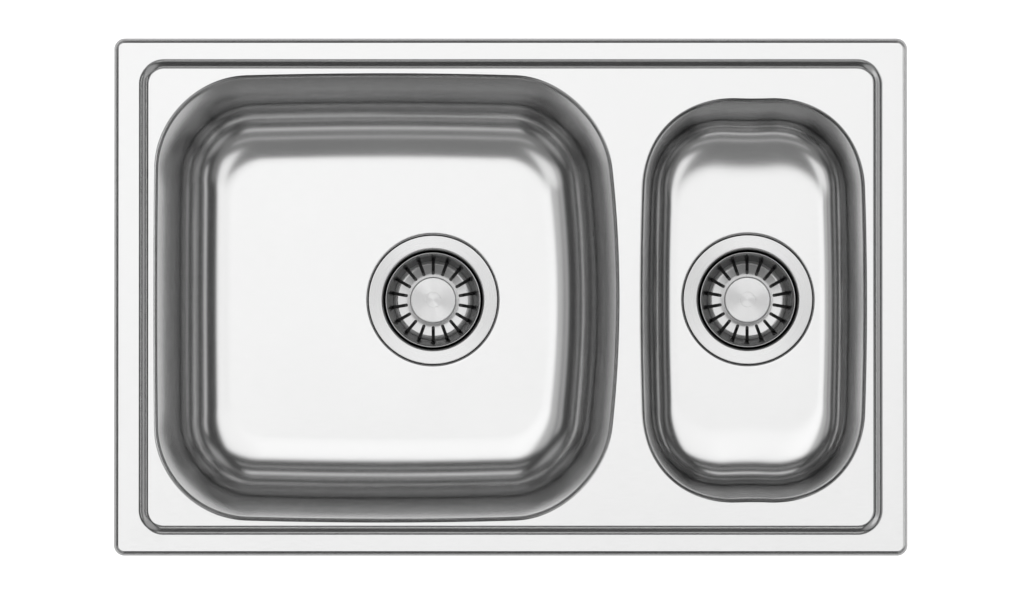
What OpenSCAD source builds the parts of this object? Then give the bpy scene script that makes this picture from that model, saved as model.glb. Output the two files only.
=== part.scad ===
// One and a half bowl inset kitchen sink, in millimetres.
// The origin is the middle of the worktop cut-out, level with the worktop's top face.
// +X runs towards the half bowl, +Y towards the back and +Z up.

/* [Steel] */
// Thickness of the sink's steel sheet
sheet = 1; // [0.8:0.1:1.2]
// Height of the ledge above the worktop
ledge_height = 4.5; // [4:0.1:7]
// Radius of the rolled outer edge
edge_radius = 3.8; // [2.5:0.1:3.9]
// Gap between the rolled edge and the worktop
edge_gap = 0.3; // [0.1:0.1:0.5]
// Corner radius of the sink seen from above
rim_corner = 9; // [6:0.5:14]
// Width of the ledge at the two ends, up to the step
ledge_ends = 20.2; // [18:0.1:30]
// Width of the ledge at the front and back, up to the step
ledge_long = 17; // [16:0.1:30]
// Width of the step down to the inner deck, seen from above
step_width = 8.4; // [6:0.1:9]
// Height of the step down to the inner deck
step_drop = 4.9; // [4:0.1:8]
// Outer corner radius of the step
step_corner = 21; // [14:0.5:30]

/* [Layout] */
// Flat deck between the step and the main bowl
gap_main_end = 3.5; // [3:0.1:12]
// Flat deck between the step and the half bowl
gap_half_end = 4.3; // [3:0.1:12]
// Flat deck between the step and the main bowl behind it
gap_back = 2.9; // [2.5:0.1:12]
// Flat deck between the step and the main bowl in front of it
gap_front = 1.5; // [1.5:0.1:12]
// Deck between the two bowls
bridge = 15; // [12:0.1:40]
// Distance of the half bowl in front of the middle line
half_shift = 2.8; // [0:0.1:8]

/* [Main bowl] */
// Length of the opening, left to right
main_length = 394.5; // [370:0.5:440]
// Width of the opening, front to back
main_width = 380.5; // [360:0.5:400]
// Depth of the floor below the inner deck
main_depth = 155; // [135:1:200]
// Corner radius of the opening
main_corner = 78; // [60:1:90]
// Corner radius of the flat floor
main_floor_corner = 30; // [20:1:50]
// Radius between the walls and the floor
main_floor_radius = 42; // [34:1:50]
// Draft of the end walls above the floor radius, in degrees
main_draft = 4.5; // [3:0.5:6]
// Draft of the end walls below the edge of the opening, in degrees
main_rim_draft = 10; // [7:0.5:12]
// How much further the front and back walls lean in than the end walls, at the opening
main_lean = 1.1; // [1:0.01:1.25]
// The same at the edge of the floor
main_floor_lean = 1.17; // [1:0.01:1.25]
// Bow of the outer end
main_bow_outer = 2; // [0:0.5:6]
// Bow of the inner end, beside the half bowl
main_bow_inner = 17; // [0:0.5:22]
// Bow of the front and the back
main_bow_long = 4.5; // [0:0.5:8]
// Distance of the waste to the right of the bowl's middle
main_waste_offset = 37.5; // [0:0.5:50]

/* [Half bowl] */
// Length of the opening, left to right
half_length = 193.5; // [190:0.5:240]
// Width of the opening, front to back
half_width = 342; // [310:1:350]
// Depth of the floor below the inner deck
half_depth = 140; // [120:1:180]
// Corner radius of the opening
half_corner = 83; // [60:1:88]
// Corner radius of the flat floor
half_floor_corner = 34; // [20:1:50]
// Radius between the walls and the floor
half_floor_radius = 24; // [18:1:25]
// Draft of the side walls above the floor radius, in degrees
half_draft = 2.5; // [1.5:0.5:3]
// Draft of the side walls below the edge of the opening, in degrees
half_rim_draft = 5; // [4:0.5:6]
// How much further the front and back walls lean in than the side walls, at the opening
half_lean = 1.05; // [1:0.01:1.3]
// The same at the edge of the floor
half_floor_lean = 1.6; // [1.3:0.01:1.7]
// Bow of the two sides
half_bow_sides = 6; // [0:0.5:10]
// How far the corners are filled out beyond their round
half_fullness = 12.5; // [0:0.5:16]

/* [Bowl form] */
// Radius of the edge between the deck and the bowl walls
bowl_edge = 3.6; // [3:0.1:5]
// Share of the bow that is left at the floor
bow_kept = 0.6; // [0:0.05:1]

/* [Seal and pads] */
// Width of the foam seal under the ledge
seal_width = 5.8; // [4:0.1:8]
// Distance of the seal from the sink's outer edge
seal_inset = 4.1; // [4:0.1:6]
// Thickness of the sound pads
pad_thickness = 2.5; // [1:0.1:5]
// Distance of the sound pads inside the edge of the flat floor
pad_margin = 10; // [4:1:30]
// Distance of the sound pads from the waste's recess
pad_clearance = 6; // [3:1:20]

/* [Clamps] */
// Distance between clamps along the front and along the back
clamp_pitch = 215; // [150:1:235]
// Distance of the screw's axis inside the step's outer edge
clamp_inset = 3.4; // [3:0.1:4.5]
// Thickness of the bracket's steel
bracket_sheet = 1.5; // [1:0.1:2]
// Length of the bracket along the sink's edge
bracket_length = 16; // [12:1:30]
// Distance of the bracket's upright outside the step
bracket_stand = 1.8; // [1.5:0.1:2.5]
// Width of the flange that is welded under the ledge
bracket_flange = 4.4; // [3:0.1:5]
// Depth of the bracket's foot below the worktop's top face
bracket_depth = 8; // [7.5:0.1:14]
// Radius of the clamp screw
screw_radius = 2.5; // [2:0.1:3]
// Length of the clamp screw between its heads
screw_length = 58; // [52:1:80]
// Radius of the screw's riveted upper head
upper_head_radius = 4; // [3.5:0.1:4.5]
// Thickness of the screw's riveted upper head
upper_head = 2; // [1:0.1:2.5]
// Width across the flats of the screw's lower head
lower_head_flats = 8; // [7:0.5:10]
// Height of the screw's lower head
lower_head = 4; // [3:0.5:6]
// Radius of the claw's threaded boss
boss_radius = 5.5; // [5:0.1:6]
// Height of the claw's threaded boss
boss_height = 6; // [5:0.5:9]
// Reach of the claw from the screw's axis
claw_reach = 24; // [22:1:28]
// Width of the claw
claw_width = 12; // [8:1:12]
// Thickness of the claw
claw_sheet = 2; // [1.5:0.1:3]
// Height of the claw's turned-up tip
claw_tip = 5; // [3:0.5:8]

/* [Strainer waste] */
// Radius of the flange
flange_radius = 55.5; // [52:0.1:56]
// Width of the recess around the flange
recess_gap = 2.5; // [1:0.1:2.6]
// Depth of the recess in the bowl's floor
recess_depth = 3; // [2.5:0.1:4]
// Radius of the hole in the bowl's floor
waste_hole = 45; // [44.5:0.1:45.8]
// Inner radius of the strainer cup
cup_radius = 42.7; // [42.5:0.1:43]
// Thickness of the strainer cup's steel
cup_sheet = 0.8; // [0.6:0.1:1]
// Radius where the flange turns down into the cup
throat_radius = 4; // [2:0.1:5]
// Depth of the strainer cup below the bowl's floor
cup_depth = 43; // [42:0.5:50]
// Radius between the cup's wall and its bottom
cup_corner = 6; // [4:0.5:8]
// Number of outlet holes in the cup
outlet_count = 8; // [6:1:8]
// Radius of the outlet holes
outlet_radius = 4.2; // [3:0.1:4.4]
// Radius of the circle that the outlet holes lie on
outlet_circle = 15.5; // [14:0.1:16]
// Thickness of the seal under the flange
flange_seal_thickness = 1; // [0.8:0.1:1.2]
// Thickness of the gasket under the bowl
gasket_thickness = 3; // [2:0.1:4]

/* [Waste body] */
// Outer radius of the flange under the bowl
body_flange = 56; // [54:0.5:60]
// Thickness of that flange
body_flange_thickness = 5; // [4:0.5:8]
// Inner radius of the chamber
chamber_radius = 46; // [45.5:0.1:48]
// Thickness of the plastic
body_wall = 3; // [2.5:0.1:4]
// Height of the cone between the chamber and the spigot
cone_height = 22; // [18:1:30]
// Outer radius of the threaded outlet spigot
spigot_radius = 23.9; // [22:0.1:25]
// Inner radius of the spigot
spigot_bore = 20.5; // [18:0.1:21]
// Length of the spigot
spigot_length = 28; // [24:1:50]
// Radius of the central boss
centre_boss = 8; // [7:0.5:9]
// Thickness of the ribs that carry the boss
rib_thickness = 3; // [2:0.5:4]
// Depth of the boss and its ribs inside the spigot
rib_depth = 8; // [5:0.5:12]
// Number of ribs
rib_count = 4; // [3:1:6]
// Radius of the clamping screw's thread
clamping_thread = 3; // [2.5:0.1:3.5]
// Length of the clamping screw inside the boss
clamping_grip = 19; // [12:0.5:24]

/* [Strainer] */
// Radius of the basket's rim
basket_radius = 41.2; // [40:0.1:41.4]
// Width of the basket's flat rim
basket_rim = 1.2; // [0.8:0.1:2]
// Distance of the basket's rim below the bowl's floor
basket_sink = 4.5; // [3:0.1:6]
// Thickness of the basket's steel
basket_sheet = 0.7; // [0.5:0.1:0.8]
// Radius of the basket's flat bottom
basket_floor = 29; // [27:0.1:30]
// Radius between the basket's bottom and its wall
basket_corner = 6; // [4:0.1:7]
// Steepness of the basket's wall, in degrees
basket_slope = 72; // [68:1:75]
// Number of slots
slot_count = 18; // [12:1:24]
// Inner end of the slots
slot_start = 22.3; // [21.5:0.1:24]
// Outer end of the slots
slot_end = 36.8; // [33:0.1:37]
// Width of the slots
slot_width = 2.5; // [1.5:0.1:3]
// Radius of the knob
knob_radius = 20.2; // [16:0.1:21]
// Height of the knob above the basket's bottom
knob_height = 12; // [9:0.5:16]
// Thickness of the knob's steel
knob_sheet = 1.2; // [0.8:0.1:1.5]
// Radius of the knob's edge
knob_edge = 1.6; // [1.5:0.1:2.5]
// Radius of the post
post_radius = 4.5; // [4:0.1:4.6]
// Radius of the post's collar and of the retaining washer
collar_radius = 8; // [7:0.5:10]
// Thickness of the post's collar
collar_thickness = 2; // [1.5:0.1:3]
// Thickness of the retaining washer
washer_thickness = 1.4; // [1:0.1:1.6]
// Outer radius of the rubber stopper
stopper_radius = 26; // [24:0.5:30]
// Thickness of the stopper's top
stopper_top = 3; // [2.5:0.1:4]
// Thickness of the stopper's skirt
stopper_skirt = 3.5; // [2.5:0.1:4]
// Height of the clamping screw's socket head
socket_height = 9; // [8:0.5:11]
// Thickness of the socket head's wall
socket_wall = 1.8; // [1.5:0.1:2]
// Depth of solid metal under the socket
socket_floor = 1.5; // [1:0.1:2]
// Wire radius of the catch ring
catch_wire = 0.55; // [0.4:0.05:0.6]

/* [Fits] */
// Radial clearance of a turning or sliding fit
running = 0.08; // [0.05:0.01:0.1]
// Gap between a moving piece and what it rests on
rest_gap = 0.3; // [0.2:0.05:0.5]
// Clearance around a bolt that only passes through, and past a bolt's end
bolt_clearance = 0.3; // [0.2:0.05:0.4]
// Radial clearance between pieces that are pressed or fixed together
fixed_gap = 0.05; // [0.02:0.01:0.1]

/* [Hidden] */
wastes = ["main", "half"];
waste_pieces = ["strainer_cup", "flange_seal", "waste_gasket", "waste_body", "clamping_screw",
    "stopper", "basket", "knob", "post", "retaining_washer", "catch_ring"];
long_clamps = 3;
clamps = 2 * long_clamps + 2;

// How finely the formed shapes are divided
corner_steps = 8;
bow_steps = 6;
edge_steps = 4;
wall_steps = 2;
floor_steps = 6;
step_steps = 6;
wire_steps = 24;
$fn = 64;

// How far cutters stand out of what they cut, and the pressed rim runs under the deck's plate
overlap = 0.5;
deck_lap = 0.6;

// Plan of the deck, from the bowls outwards
inner_x = (gap_main_end + main_length + bridge + half_length + gap_half_end) / 2;
inner_y = (gap_back + main_width + gap_front) / 2;
step_x = inner_x + step_width;
step_y = inner_y + step_width;
rim_x = step_x + ledge_ends;
rim_y = step_y + ledge_long;

// Heights
deck_z = ledge_height - step_drop;
ledge_under = ledge_height - sheet;
main_floor_z = deck_z - main_depth;
half_floor_z = deck_z - half_depth;

// Places of the bowls and their wastes
main_x = -inner_x + gap_main_end + main_length / 2;
half_x = inner_x - gap_half_end - half_length / 2;
main_shift = (gap_back - gap_front) / 2;
main_waste_x = main_x + main_waste_offset;
main_bow = [main_bow_outer, main_bow_inner, main_bow_long];
half_bow = [half_bow_sides, half_bow_sides, -half_fullness];

// Heights in the waste, measured from the bowl's floor
recess_radius = flange_radius + recess_gap;
recess_under = -recess_depth - sheet;
flange_top = -recess_depth + flange_seal_thickness + cup_sheet;
cup_bottom = -cup_depth;
cup_under = cup_bottom - cup_sheet;
body_top = recess_under - gasket_thickness;
cone_top = cup_under;
spigot_top = cone_top - cone_height;
spigot_end = spigot_top - spigot_length;
boss_end = spigot_top - rib_depth;
clamping_end = cup_under - clamping_grip;
socket_bore = post_radius + catch_wire + fixed_gap + running;
socket_radius = socket_bore + socket_wall;
socket_top = cup_bottom + socket_height;
washer_z = socket_top + rest_gap;
stopper_under = washer_z + washer_thickness + rest_gap;
stopper_over = stopper_under + stopper_top;
collar_z = stopper_over + rest_gap;
basket_under = collar_z + collar_thickness;
basket_z = basket_under + basket_sheet;
knob_top = basket_z + knob_height;
post_end = cup_bottom + socket_floor + rest_gap;
catch_z = (post_end + socket_top) / 2;

// Heights and places in a clamp, measured from the step's outer edge
foot_z = -bracket_depth;
screw_head_z = foot_z + rest_gap;
screw_end = screw_head_z - screw_length;
boss_z = screw_end + rest_gap;

// Points and paths
function side(v) = v < 0 ? -1 : 1;
function unit(v) = v / norm(v);
function reversed(p) = [for (i = [len(p) - 1:-1:0]) p[i]];
function arc(centre, r, from, to, steps) =
    [for (i = [0:steps]) let (a = from + (to - from) * i / steps) centre + r * [cos(a), sin(a)]];
function between(a, b, steps) = [for (i = [1:1:steps - 1]) a + (b - a) * i / steps];

// A path's left side, at a distance from it
function normal(a, b) = unit([a[1] - b[1], b[0] - a[0]]);
function beside(p, i, distance) =
    let (
        last = len(p) - 1,
        before = normal(p[max(i - 1, 0)], p[max(i, 1)]),
        after = normal(p[min(i, last - 1)], p[min(i + 1, last)]),
        middle = unit(before + after)
    )
    p[i] + middle * distance / (middle * before);
function offset_path(p, distance) = [for (i = [0:len(p) - 1]) beside(p, i, distance)];
function sheet_outline(p, thickness) = concat(p, reversed(offset_path(p, thickness)));

// A rounded rectangle of half sizes x and y, with steps along each side
function rounded(x, y, r, steps) =
    let (cx = x - r, cy = y - r)
    concat(
        arc([cx, cy], r, 0, 90, corner_steps), between([cx, y], [-cx, y], steps),
        arc([-cx, cy], r, 90, 180, corner_steps), between([-x, cy], [-x, -cy], steps),
        arc([-cx, -cy], r, 180, 270, corner_steps), between([-cx, -y], [cx, -y], steps),
        arc([cx, -cy], r, 270, 360, corner_steps), between([x, -cy], [x, cy], steps)
    );

// The same with its left, right and long sides bowed
function bowed(x, y, r, bow) =
    [for (p = rounded(x, y, r, bow_steps))
        let (ends = side(p[0]) * bow[p[0] < 0 ? 0 : 1], along = side(p[1]) * bow[2])
        [p[0] - ends * pow(p[1] / y, 2) * abs(p[0] / x), p[1] - along * pow(p[0] / x, 2) * abs(p[1] / y)]];

// Section of a bowl as inset and height, from the deck to the floor's edge, below its upper face by t.
// The wall is an arc of large radius that steepens from the rim's draft to its own.
function wall_radius(depth, rim_draft, draft, radius) =
    (depth - bowl_edge * (1 - sin(rim_draft)) - radius * (1 - sin(draft))) / (sin(rim_draft) - sin(draft));
function bowl_inset(depth, rim_draft, draft, radius) =
    bowl_edge * cos(rim_draft) + radius * cos(draft)
        + wall_radius(depth, rim_draft, draft, radius) * (cos(draft) - cos(rim_draft));
function bowl_path(depth, rim_draft, draft, radius, t) =
    let (
        wall = wall_radius(depth, rim_draft, draft, radius),
        centre = [0, -bowl_edge] + (bowl_edge - wall) * [cos(rim_draft), sin(rim_draft)],
        foot = [bowl_inset(depth, rim_draft, draft, radius), radius - depth]
    )
    concat(
        arc([0, -bowl_edge], bowl_edge - t, 90, rim_draft, edge_steps),
        [for (i = [1:wall_steps - 1]) let (a = rim_draft + (draft - rim_draft) * i / wall_steps)
            centre + (wall - t) * [cos(a), sin(a)]],
        arc(foot, radius + t, 180 + draft, 270, floor_steps)
    );

// Outline of a bowl at a point of its section
function bowl_ring(p, x, y, inset, corner, floor_corner, lean, floor_lean, bow) =
    let (
        share = p[0] / inset,
        outline = bowed(
            x - p[0], y - p[0] * (lean + (floor_lean - lean) * share),
            corner + (floor_corner - corner) * share,
            bow * (1 - (1 - bow_kept) * share)
        )
    )
    [for (q = outline) [q[0], q[1], p[1]]];

// Section of the deck as inset from the rim and height, from the rolled edge to the inner deck
function step_point(s) = [s * step_width, ledge_height - step_drop * (1 - cos(180 * s)) / 2];
deck_path = concat(
    [[0, edge_gap]],
    arc([edge_radius, ledge_height - edge_radius], edge_radius, 180, 90, edge_steps),
    [for (i = [0:step_steps]) step_point(i / step_steps) + [ledge_ends, 0]],
    [[ledge_ends + step_width + deck_lap, deck_z]]
);

// Outline of the deck at a point of its section
function deck_ring(p) =
    let (
        on_ledge = p[0] < ledge_ends / 2,
        inset_y = on_ledge ? p[0] : p[0] - ledge_ends + ledge_long,
        corner = on_ledge ? rim_corner - p[0] : step_corner - (p[0] - ledge_ends)
    )
    [for (q = rounded(rim_x - p[0], rim_y - inset_y, corner, 1)) [q[0], q[1], p[1]]];

// A skin through rings with equal numbers of points, capped at its ends or closed on itself
module loft(rings, closed) {
    n = len(rings[0]);
    k = len(rings);
    walls = [for (j = [0:closed ? k - 1 : k - 2], i = [0:n - 1])
        let (
            next = (j + 1) % k,
            a = j * n + i,
            b = j * n + (i + 1) % n,
            c = next * n + (i + 1) % n,
            d = next * n + i
        )
        each [[a, b, c], [a, c, d]]];
    caps = closed ? [] : [[for (i = [n - 1:-1:0]) i], [for (i = [0:n - 1]) (k - 1) * n + i]];
    polyhedron([for (r = rings) each r], concat(walls, caps));
}

module ring(outer, inner, height) {
    difference() {
        cylinder(r = outer, h = height);
        translate([0, 0, -overlap]) cylinder(r = inner, h = height + 2 * overlap);
    }
}

// Places
module at_main_waste() {
    translate([main_waste_x, 0, main_floor_z]) children();
}

module at_half_waste() {
    translate([half_x, 0, half_floor_z]) children();
}

// The first clamps stand along the back, the next along the front and the last two at the ends
function along(i) = ((i - 1) % long_clamps - (long_clamps - 1) / 2) * clamp_pitch;
function clamp_place(i) =
    i <= long_clamps ? [along(i), step_y, 0] :
    i <= 2 * long_clamps ? [along(i), -step_y, 180] :
    i < clamps ? [-step_x, 0, 90] : [step_x, 0, -90];

module at_clamp(i) {
    place = clamp_place(i);
    translate([place[0], place[1], 0]) rotate(place[2]) children();
}

// Deck
module deck() {
    corner = step_corner - step_width - deck_lap;
    color("silver") union() {
        loft(reversed([for (p = sheet_outline(deck_path, -sheet)) deck_ring(p)]), true);
        translate([0, 0, deck_z - sheet]) linear_extrude(sheet) difference() {
            polygon(rounded(inner_x - deck_lap, inner_y - deck_lap, corner, 1));
            translate([main_x, -main_shift])
                polygon(bowed(main_length / 2, main_width / 2, main_corner, main_bow));
            translate([half_x, -half_shift])
                polygon(bowed(half_length / 2, half_width / 2, half_corner, half_bow));
        }
    }
}

// Bowls
module bowl(
    length, width, depth, corner, floor_corner, radius, rim_draft, draft, lean, floor_lean, bow, waste
) {
    inset = bowl_inset(depth, rim_draft, draft, radius);
    upper = bowl_path(depth, rim_draft, draft, radius, 0);
    under = bowl_path(depth, rim_draft, draft, radius, sheet);
    difference() {
        union() {
            loft([for (p = concat(reversed(upper), under))
                bowl_ring(p, length / 2, width / 2, inset, corner, floor_corner, lean, floor_lean, bow)],
                false);
            translate([waste[0], waste[1], recess_under - depth])
                cylinder(r = recess_radius + sheet, h = recess_depth + sheet / 2);
        }
        translate([waste[0], waste[1], -recess_depth - depth])
            cylinder(r = recess_radius, h = recess_depth + overlap);
        translate([waste[0], waste[1], recess_under - depth - overlap])
            cylinder(r = waste_hole, h = recess_depth + sheet + 2 * overlap);
    }
}

module main_bowl() {
    color("silver") translate([main_x, -main_shift, deck_z])
        bowl(main_length, main_width, main_depth, main_corner, main_floor_corner,
            main_floor_radius, main_rim_draft, main_draft, main_lean, main_floor_lean, main_bow,
            [main_waste_offset, main_shift]);
}

module half_bowl() {
    color("silver") translate([half_x, -half_shift, deck_z])
        bowl(half_length, half_width, half_depth, half_corner, half_floor_corner,
            half_floor_radius, half_rim_draft, half_draft, half_lean, half_floor_lean, half_bow,
            [0, half_shift]);
}

// Seal and sound pads
module rim_seal() {
    x = rim_x - seal_inset;
    y = rim_y - seal_inset;
    corner = rim_corner - seal_inset;
    color("dimgray") linear_extrude(ledge_under) difference() {
        polygon(rounded(x, y, corner, 1));
        polygon(rounded(x - seal_width, y - seal_width, corner, 1));
    }
}

module sound_pad(length, width, depth, rim_draft, draft, radius, lean, corner, waste) {
    inset = bowl_inset(depth, rim_draft, draft, radius) + pad_margin;
    hole = recess_radius + sheet + pad_clearance;
    translate([0, 0, -depth - sheet - pad_thickness]) linear_extrude(pad_thickness) difference() {
        polygon(rounded(length / 2 - inset, width / 2 - inset * lean, corner, 1));
        translate(waste) circle(r = hole);
    }
}

module main_sound_pad() {
    color("dimgray") translate([main_x, -main_shift, deck_z])
        sound_pad(main_length, main_width, main_depth, main_rim_draft, main_draft, main_floor_radius,
            main_floor_lean, main_floor_corner, [main_waste_offset, main_shift]);
}

module half_sound_pads() {
    color("dimgray") translate([half_x, -half_shift, deck_z])
        sound_pad(half_length, half_width, half_depth, half_rim_draft, half_draft, half_floor_radius,
            half_floor_lean, half_floor_corner, [0, half_shift]);
}

// Clamps, drawn with the sink's outside towards +Y
module clamp_bracket() {
    foot = clamp_inset + upper_head_radius + bracket_sheet;
    difference() {
        union() {
            translate([-bracket_length / 2, bracket_stand, ledge_under - bracket_sheet])
                cube([bracket_length, bracket_flange, bracket_sheet]);
            translate([-bracket_length / 2, bracket_stand, foot_z - bracket_sheet])
                cube([bracket_length, bracket_sheet, ledge_under - foot_z + bracket_sheet]);
            translate([-bracket_length / 2, -foot, foot_z - bracket_sheet])
                cube([bracket_length, foot + bracket_stand + bracket_sheet, bracket_sheet]);
        }
        translate([0, -clamp_inset, foot_z - bracket_sheet - overlap])
            cylinder(r = screw_radius + running, h = bracket_sheet + 2 * overlap);
    }
}

module clamp_brackets() {
    color("gainsboro") for (i = [1:clamps]) at_clamp(i) clamp_bracket();
}

module clamp_screw(i) {
    color("lightsteelblue") at_clamp(i) translate([0, -clamp_inset, 0]) {
        translate([0, 0, screw_head_z]) cylinder(r = upper_head_radius, h = upper_head);
        translate([0, 0, screw_end]) cylinder(r = screw_radius, h = screw_length);
        translate([0, 0, screw_end - lower_head])
            cylinder(r = lower_head_flats / sqrt(3), h = lower_head, $fn = 6);
    }
}

module clamp_claw(i) {
    color("slategray") at_clamp(i) translate([0, -clamp_inset, boss_z]) difference() {
        union() {
            cylinder(r = boss_radius, h = boss_height);
            translate([0, -claw_width / 2, boss_height - claw_sheet])
                cube([claw_reach, claw_width, claw_sheet]);
            translate([claw_reach - claw_sheet, -claw_width / 2, boss_height - claw_sheet])
                cube([claw_sheet, claw_width, claw_sheet + claw_tip]);
        }
        translate([0, 0, -overlap]) cylinder(r = screw_radius + running, h = boss_height + 2 * overlap);
    }
}

// Waste pieces, drawn about the waste's axis with the bowl's floor at zero
module strainer_cup() {
    section = sheet_outline(concat(
        [[flange_radius, flange_top]],
        arc([cup_radius + throat_radius, flange_top - throat_radius], throat_radius, 90, 180, edge_steps),
        arc([cup_radius - cup_corner, cup_bottom + cup_corner], cup_corner, 0, -90, edge_steps),
        [[clamping_thread + bolt_clearance, cup_bottom]]
    ), cup_sheet);
    color("silver") difference() {
        rotate_extrude() polygon(section);
        for (i = [1:outlet_count]) rotate(i * 360 / outlet_count)
            translate([outlet_circle, 0, cup_under - overlap])
                cylinder(r = outlet_radius, h = cup_sheet + 2 * overlap);
    }
}

module flange_seal() {
    color("dimgray") translate([0, 0, -recess_depth])
        ring(flange_radius - fixed_gap, cup_radius + throat_radius + fixed_gap, flange_seal_thickness);
}

module waste_gasket() {
    color("dimgray") translate([0, 0, body_top]) ring(body_flange, chamber_radius, gasket_thickness);
}

module waste_body() {
    outer = chamber_radius + body_wall;
    color("whitesmoke") difference() {
        union() {
            rotate_extrude() polygon([
                [chamber_radius, body_top], [body_flange, body_top],
                [body_flange, body_top - body_flange_thickness], [outer, body_top - body_flange_thickness],
                [outer, cone_top], [spigot_radius, spigot_top], [spigot_radius, spigot_end],
                [spigot_bore, spigot_end], [spigot_bore, spigot_top], [chamber_radius, cone_top]
            ]);
            translate([0, 0, boss_end]) cylinder(r = centre_boss, h = cup_under - boss_end);
            for (i = [1:rib_count]) rotate(i * 360 / rib_count)
                translate([0, -rib_thickness / 2, boss_end])
                    cube([(spigot_bore + spigot_radius) / 2, rib_thickness, rib_depth]);
        }
        translate([0, 0, clamping_end - bolt_clearance])
            cylinder(r = clamping_thread + running, h = clamping_grip + bolt_clearance + overlap);
    }
}

module clamping_screw() {
    color("silver") difference() {
        union() {
            translate([0, 0, cup_bottom]) cylinder(r = socket_radius, h = socket_height);
            translate([0, 0, clamping_end]) cylinder(r = clamping_thread, h = cup_bottom - clamping_end);
        }
        translate([0, 0, cup_bottom + socket_floor]) cylinder(r = socket_bore, h = socket_height);
    }
}

module stopper() {
    inner = stopper_radius - stopper_skirt;
    bore = post_radius + running;
    lip = cup_bottom + rest_gap;
    chamfer = stopper_top / 2;
    color("dimgray") rotate_extrude() polygon([
        [bore, stopper_over], [bore, stopper_under], [inner, stopper_under], [inner, lip],
        [stopper_radius, lip], [stopper_radius, stopper_over - chamfer],
        [stopper_radius - chamfer, stopper_over]
    ]);
}

module basket() {
    corner_centre = [basket_floor, basket_z + basket_corner];
    wall_top = [basket_radius - basket_rim, -basket_sink];
    section = sheet_outline(concat(
        [[basket_radius, -basket_sink], wall_top],
        arc(corner_centre, basket_corner, basket_slope - 90, -90, edge_steps),
        [[post_radius + fixed_gap, basket_z]]
    ), basket_sheet);
    color("silver") difference() {
        rotate_extrude() polygon(section);
        for (i = [0:slot_count - 1]) rotate(90 + i * 360 / slot_count)
            translate([0, 0, basket_under - overlap]) basket_slot();
    }
}

module basket_slot() {
    height = -basket_sink - basket_under;
    translate([slot_start + slot_width / 2, -slot_width / 2, 0])
        cube([slot_end - slot_start - slot_width, slot_width, height]);
    for (x = [slot_start, slot_end - slot_width])
        translate([x + slot_width / 2, 0, 0]) cylinder(r = slot_width / 2, h = height);
}

module knob() {
    section = sheet_outline(concat(
        [[0, knob_top]],
        arc([knob_radius - knob_edge, knob_top - knob_edge], knob_edge, 90, 0, edge_steps),
        [[knob_radius, basket_z]]
    ), -knob_sheet);
    color("silver") rotate_extrude() polygon(section);
}

module post() {
    groove = catch_wire + fixed_gap;
    color("silver") difference() {
        union() {
            translate([0, 0, post_end]) cylinder(r = post_radius, h = knob_top - knob_sheet - post_end);
            translate([0, 0, collar_z]) cylinder(r = collar_radius, h = collar_thickness);
        }
        translate([0, 0, catch_z - groove]) ring(post_radius + overlap, post_radius - catch_wire, 2 * groove);
    }
}

module retaining_washer() {
    color("silver") translate([0, 0, washer_z])
        ring(collar_radius, post_radius + fixed_gap, washer_thickness);
}

module catch_ring() {
    color("silver") translate([0, 0, catch_z]) rotate_extrude()
        translate([post_radius + fixed_gap, 0]) circle(r = catch_wire, $fn = wire_steps);
}

deck();
main_bowl();
half_bowl();
rim_seal();
main_sound_pad();
half_sound_pads();
clamp_brackets();

at_main_waste() strainer_cup();  // main_strainer_cup
at_main_waste() flange_seal();  // main_flange_seal
at_main_waste() waste_gasket();  // main_waste_gasket
at_main_waste() waste_body();  // main_waste_body
at_main_waste() clamping_screw();  // main_clamping_screw
at_main_waste() stopper();  // main_stopper
at_main_waste() basket();  // main_basket
at_main_waste() knob();  // main_knob
at_main_waste() post();  // main_post
at_main_waste() retaining_washer();  // main_retaining_washer
at_main_waste() catch_ring();  // main_catch_ring

at_half_waste() strainer_cup();  // half_strainer_cup
at_half_waste() flange_seal();  // half_flange_seal
at_half_waste() waste_gasket();  // half_waste_gasket
at_half_waste() waste_body();  // half_waste_body
at_half_waste() clamping_screw();  // half_clamping_screw
at_half_waste() stopper();  // half_stopper
at_half_waste() basket();  // half_basket
at_half_waste() knob();  // half_knob
at_half_waste() post();  // half_post
at_half_waste() retaining_washer();  // half_retaining_washer
at_half_waste() catch_ring();  // half_catch_ring

for (i = [1:clamps]) {
    clamp_screw(i);
    clamp_claw(i);
}
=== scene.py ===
"""One and a half bowl inset sink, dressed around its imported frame.

Everything is in metres and in the frame's own axes: +X towards the half bowl, +Y towards the
back and +Z up, with the worktop's top face at zero.
"""
import logging
import math
from dataclasses import dataclass
from enum import Enum

import bmesh
import bpy
from mathutils import Matrix, Vector


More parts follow.
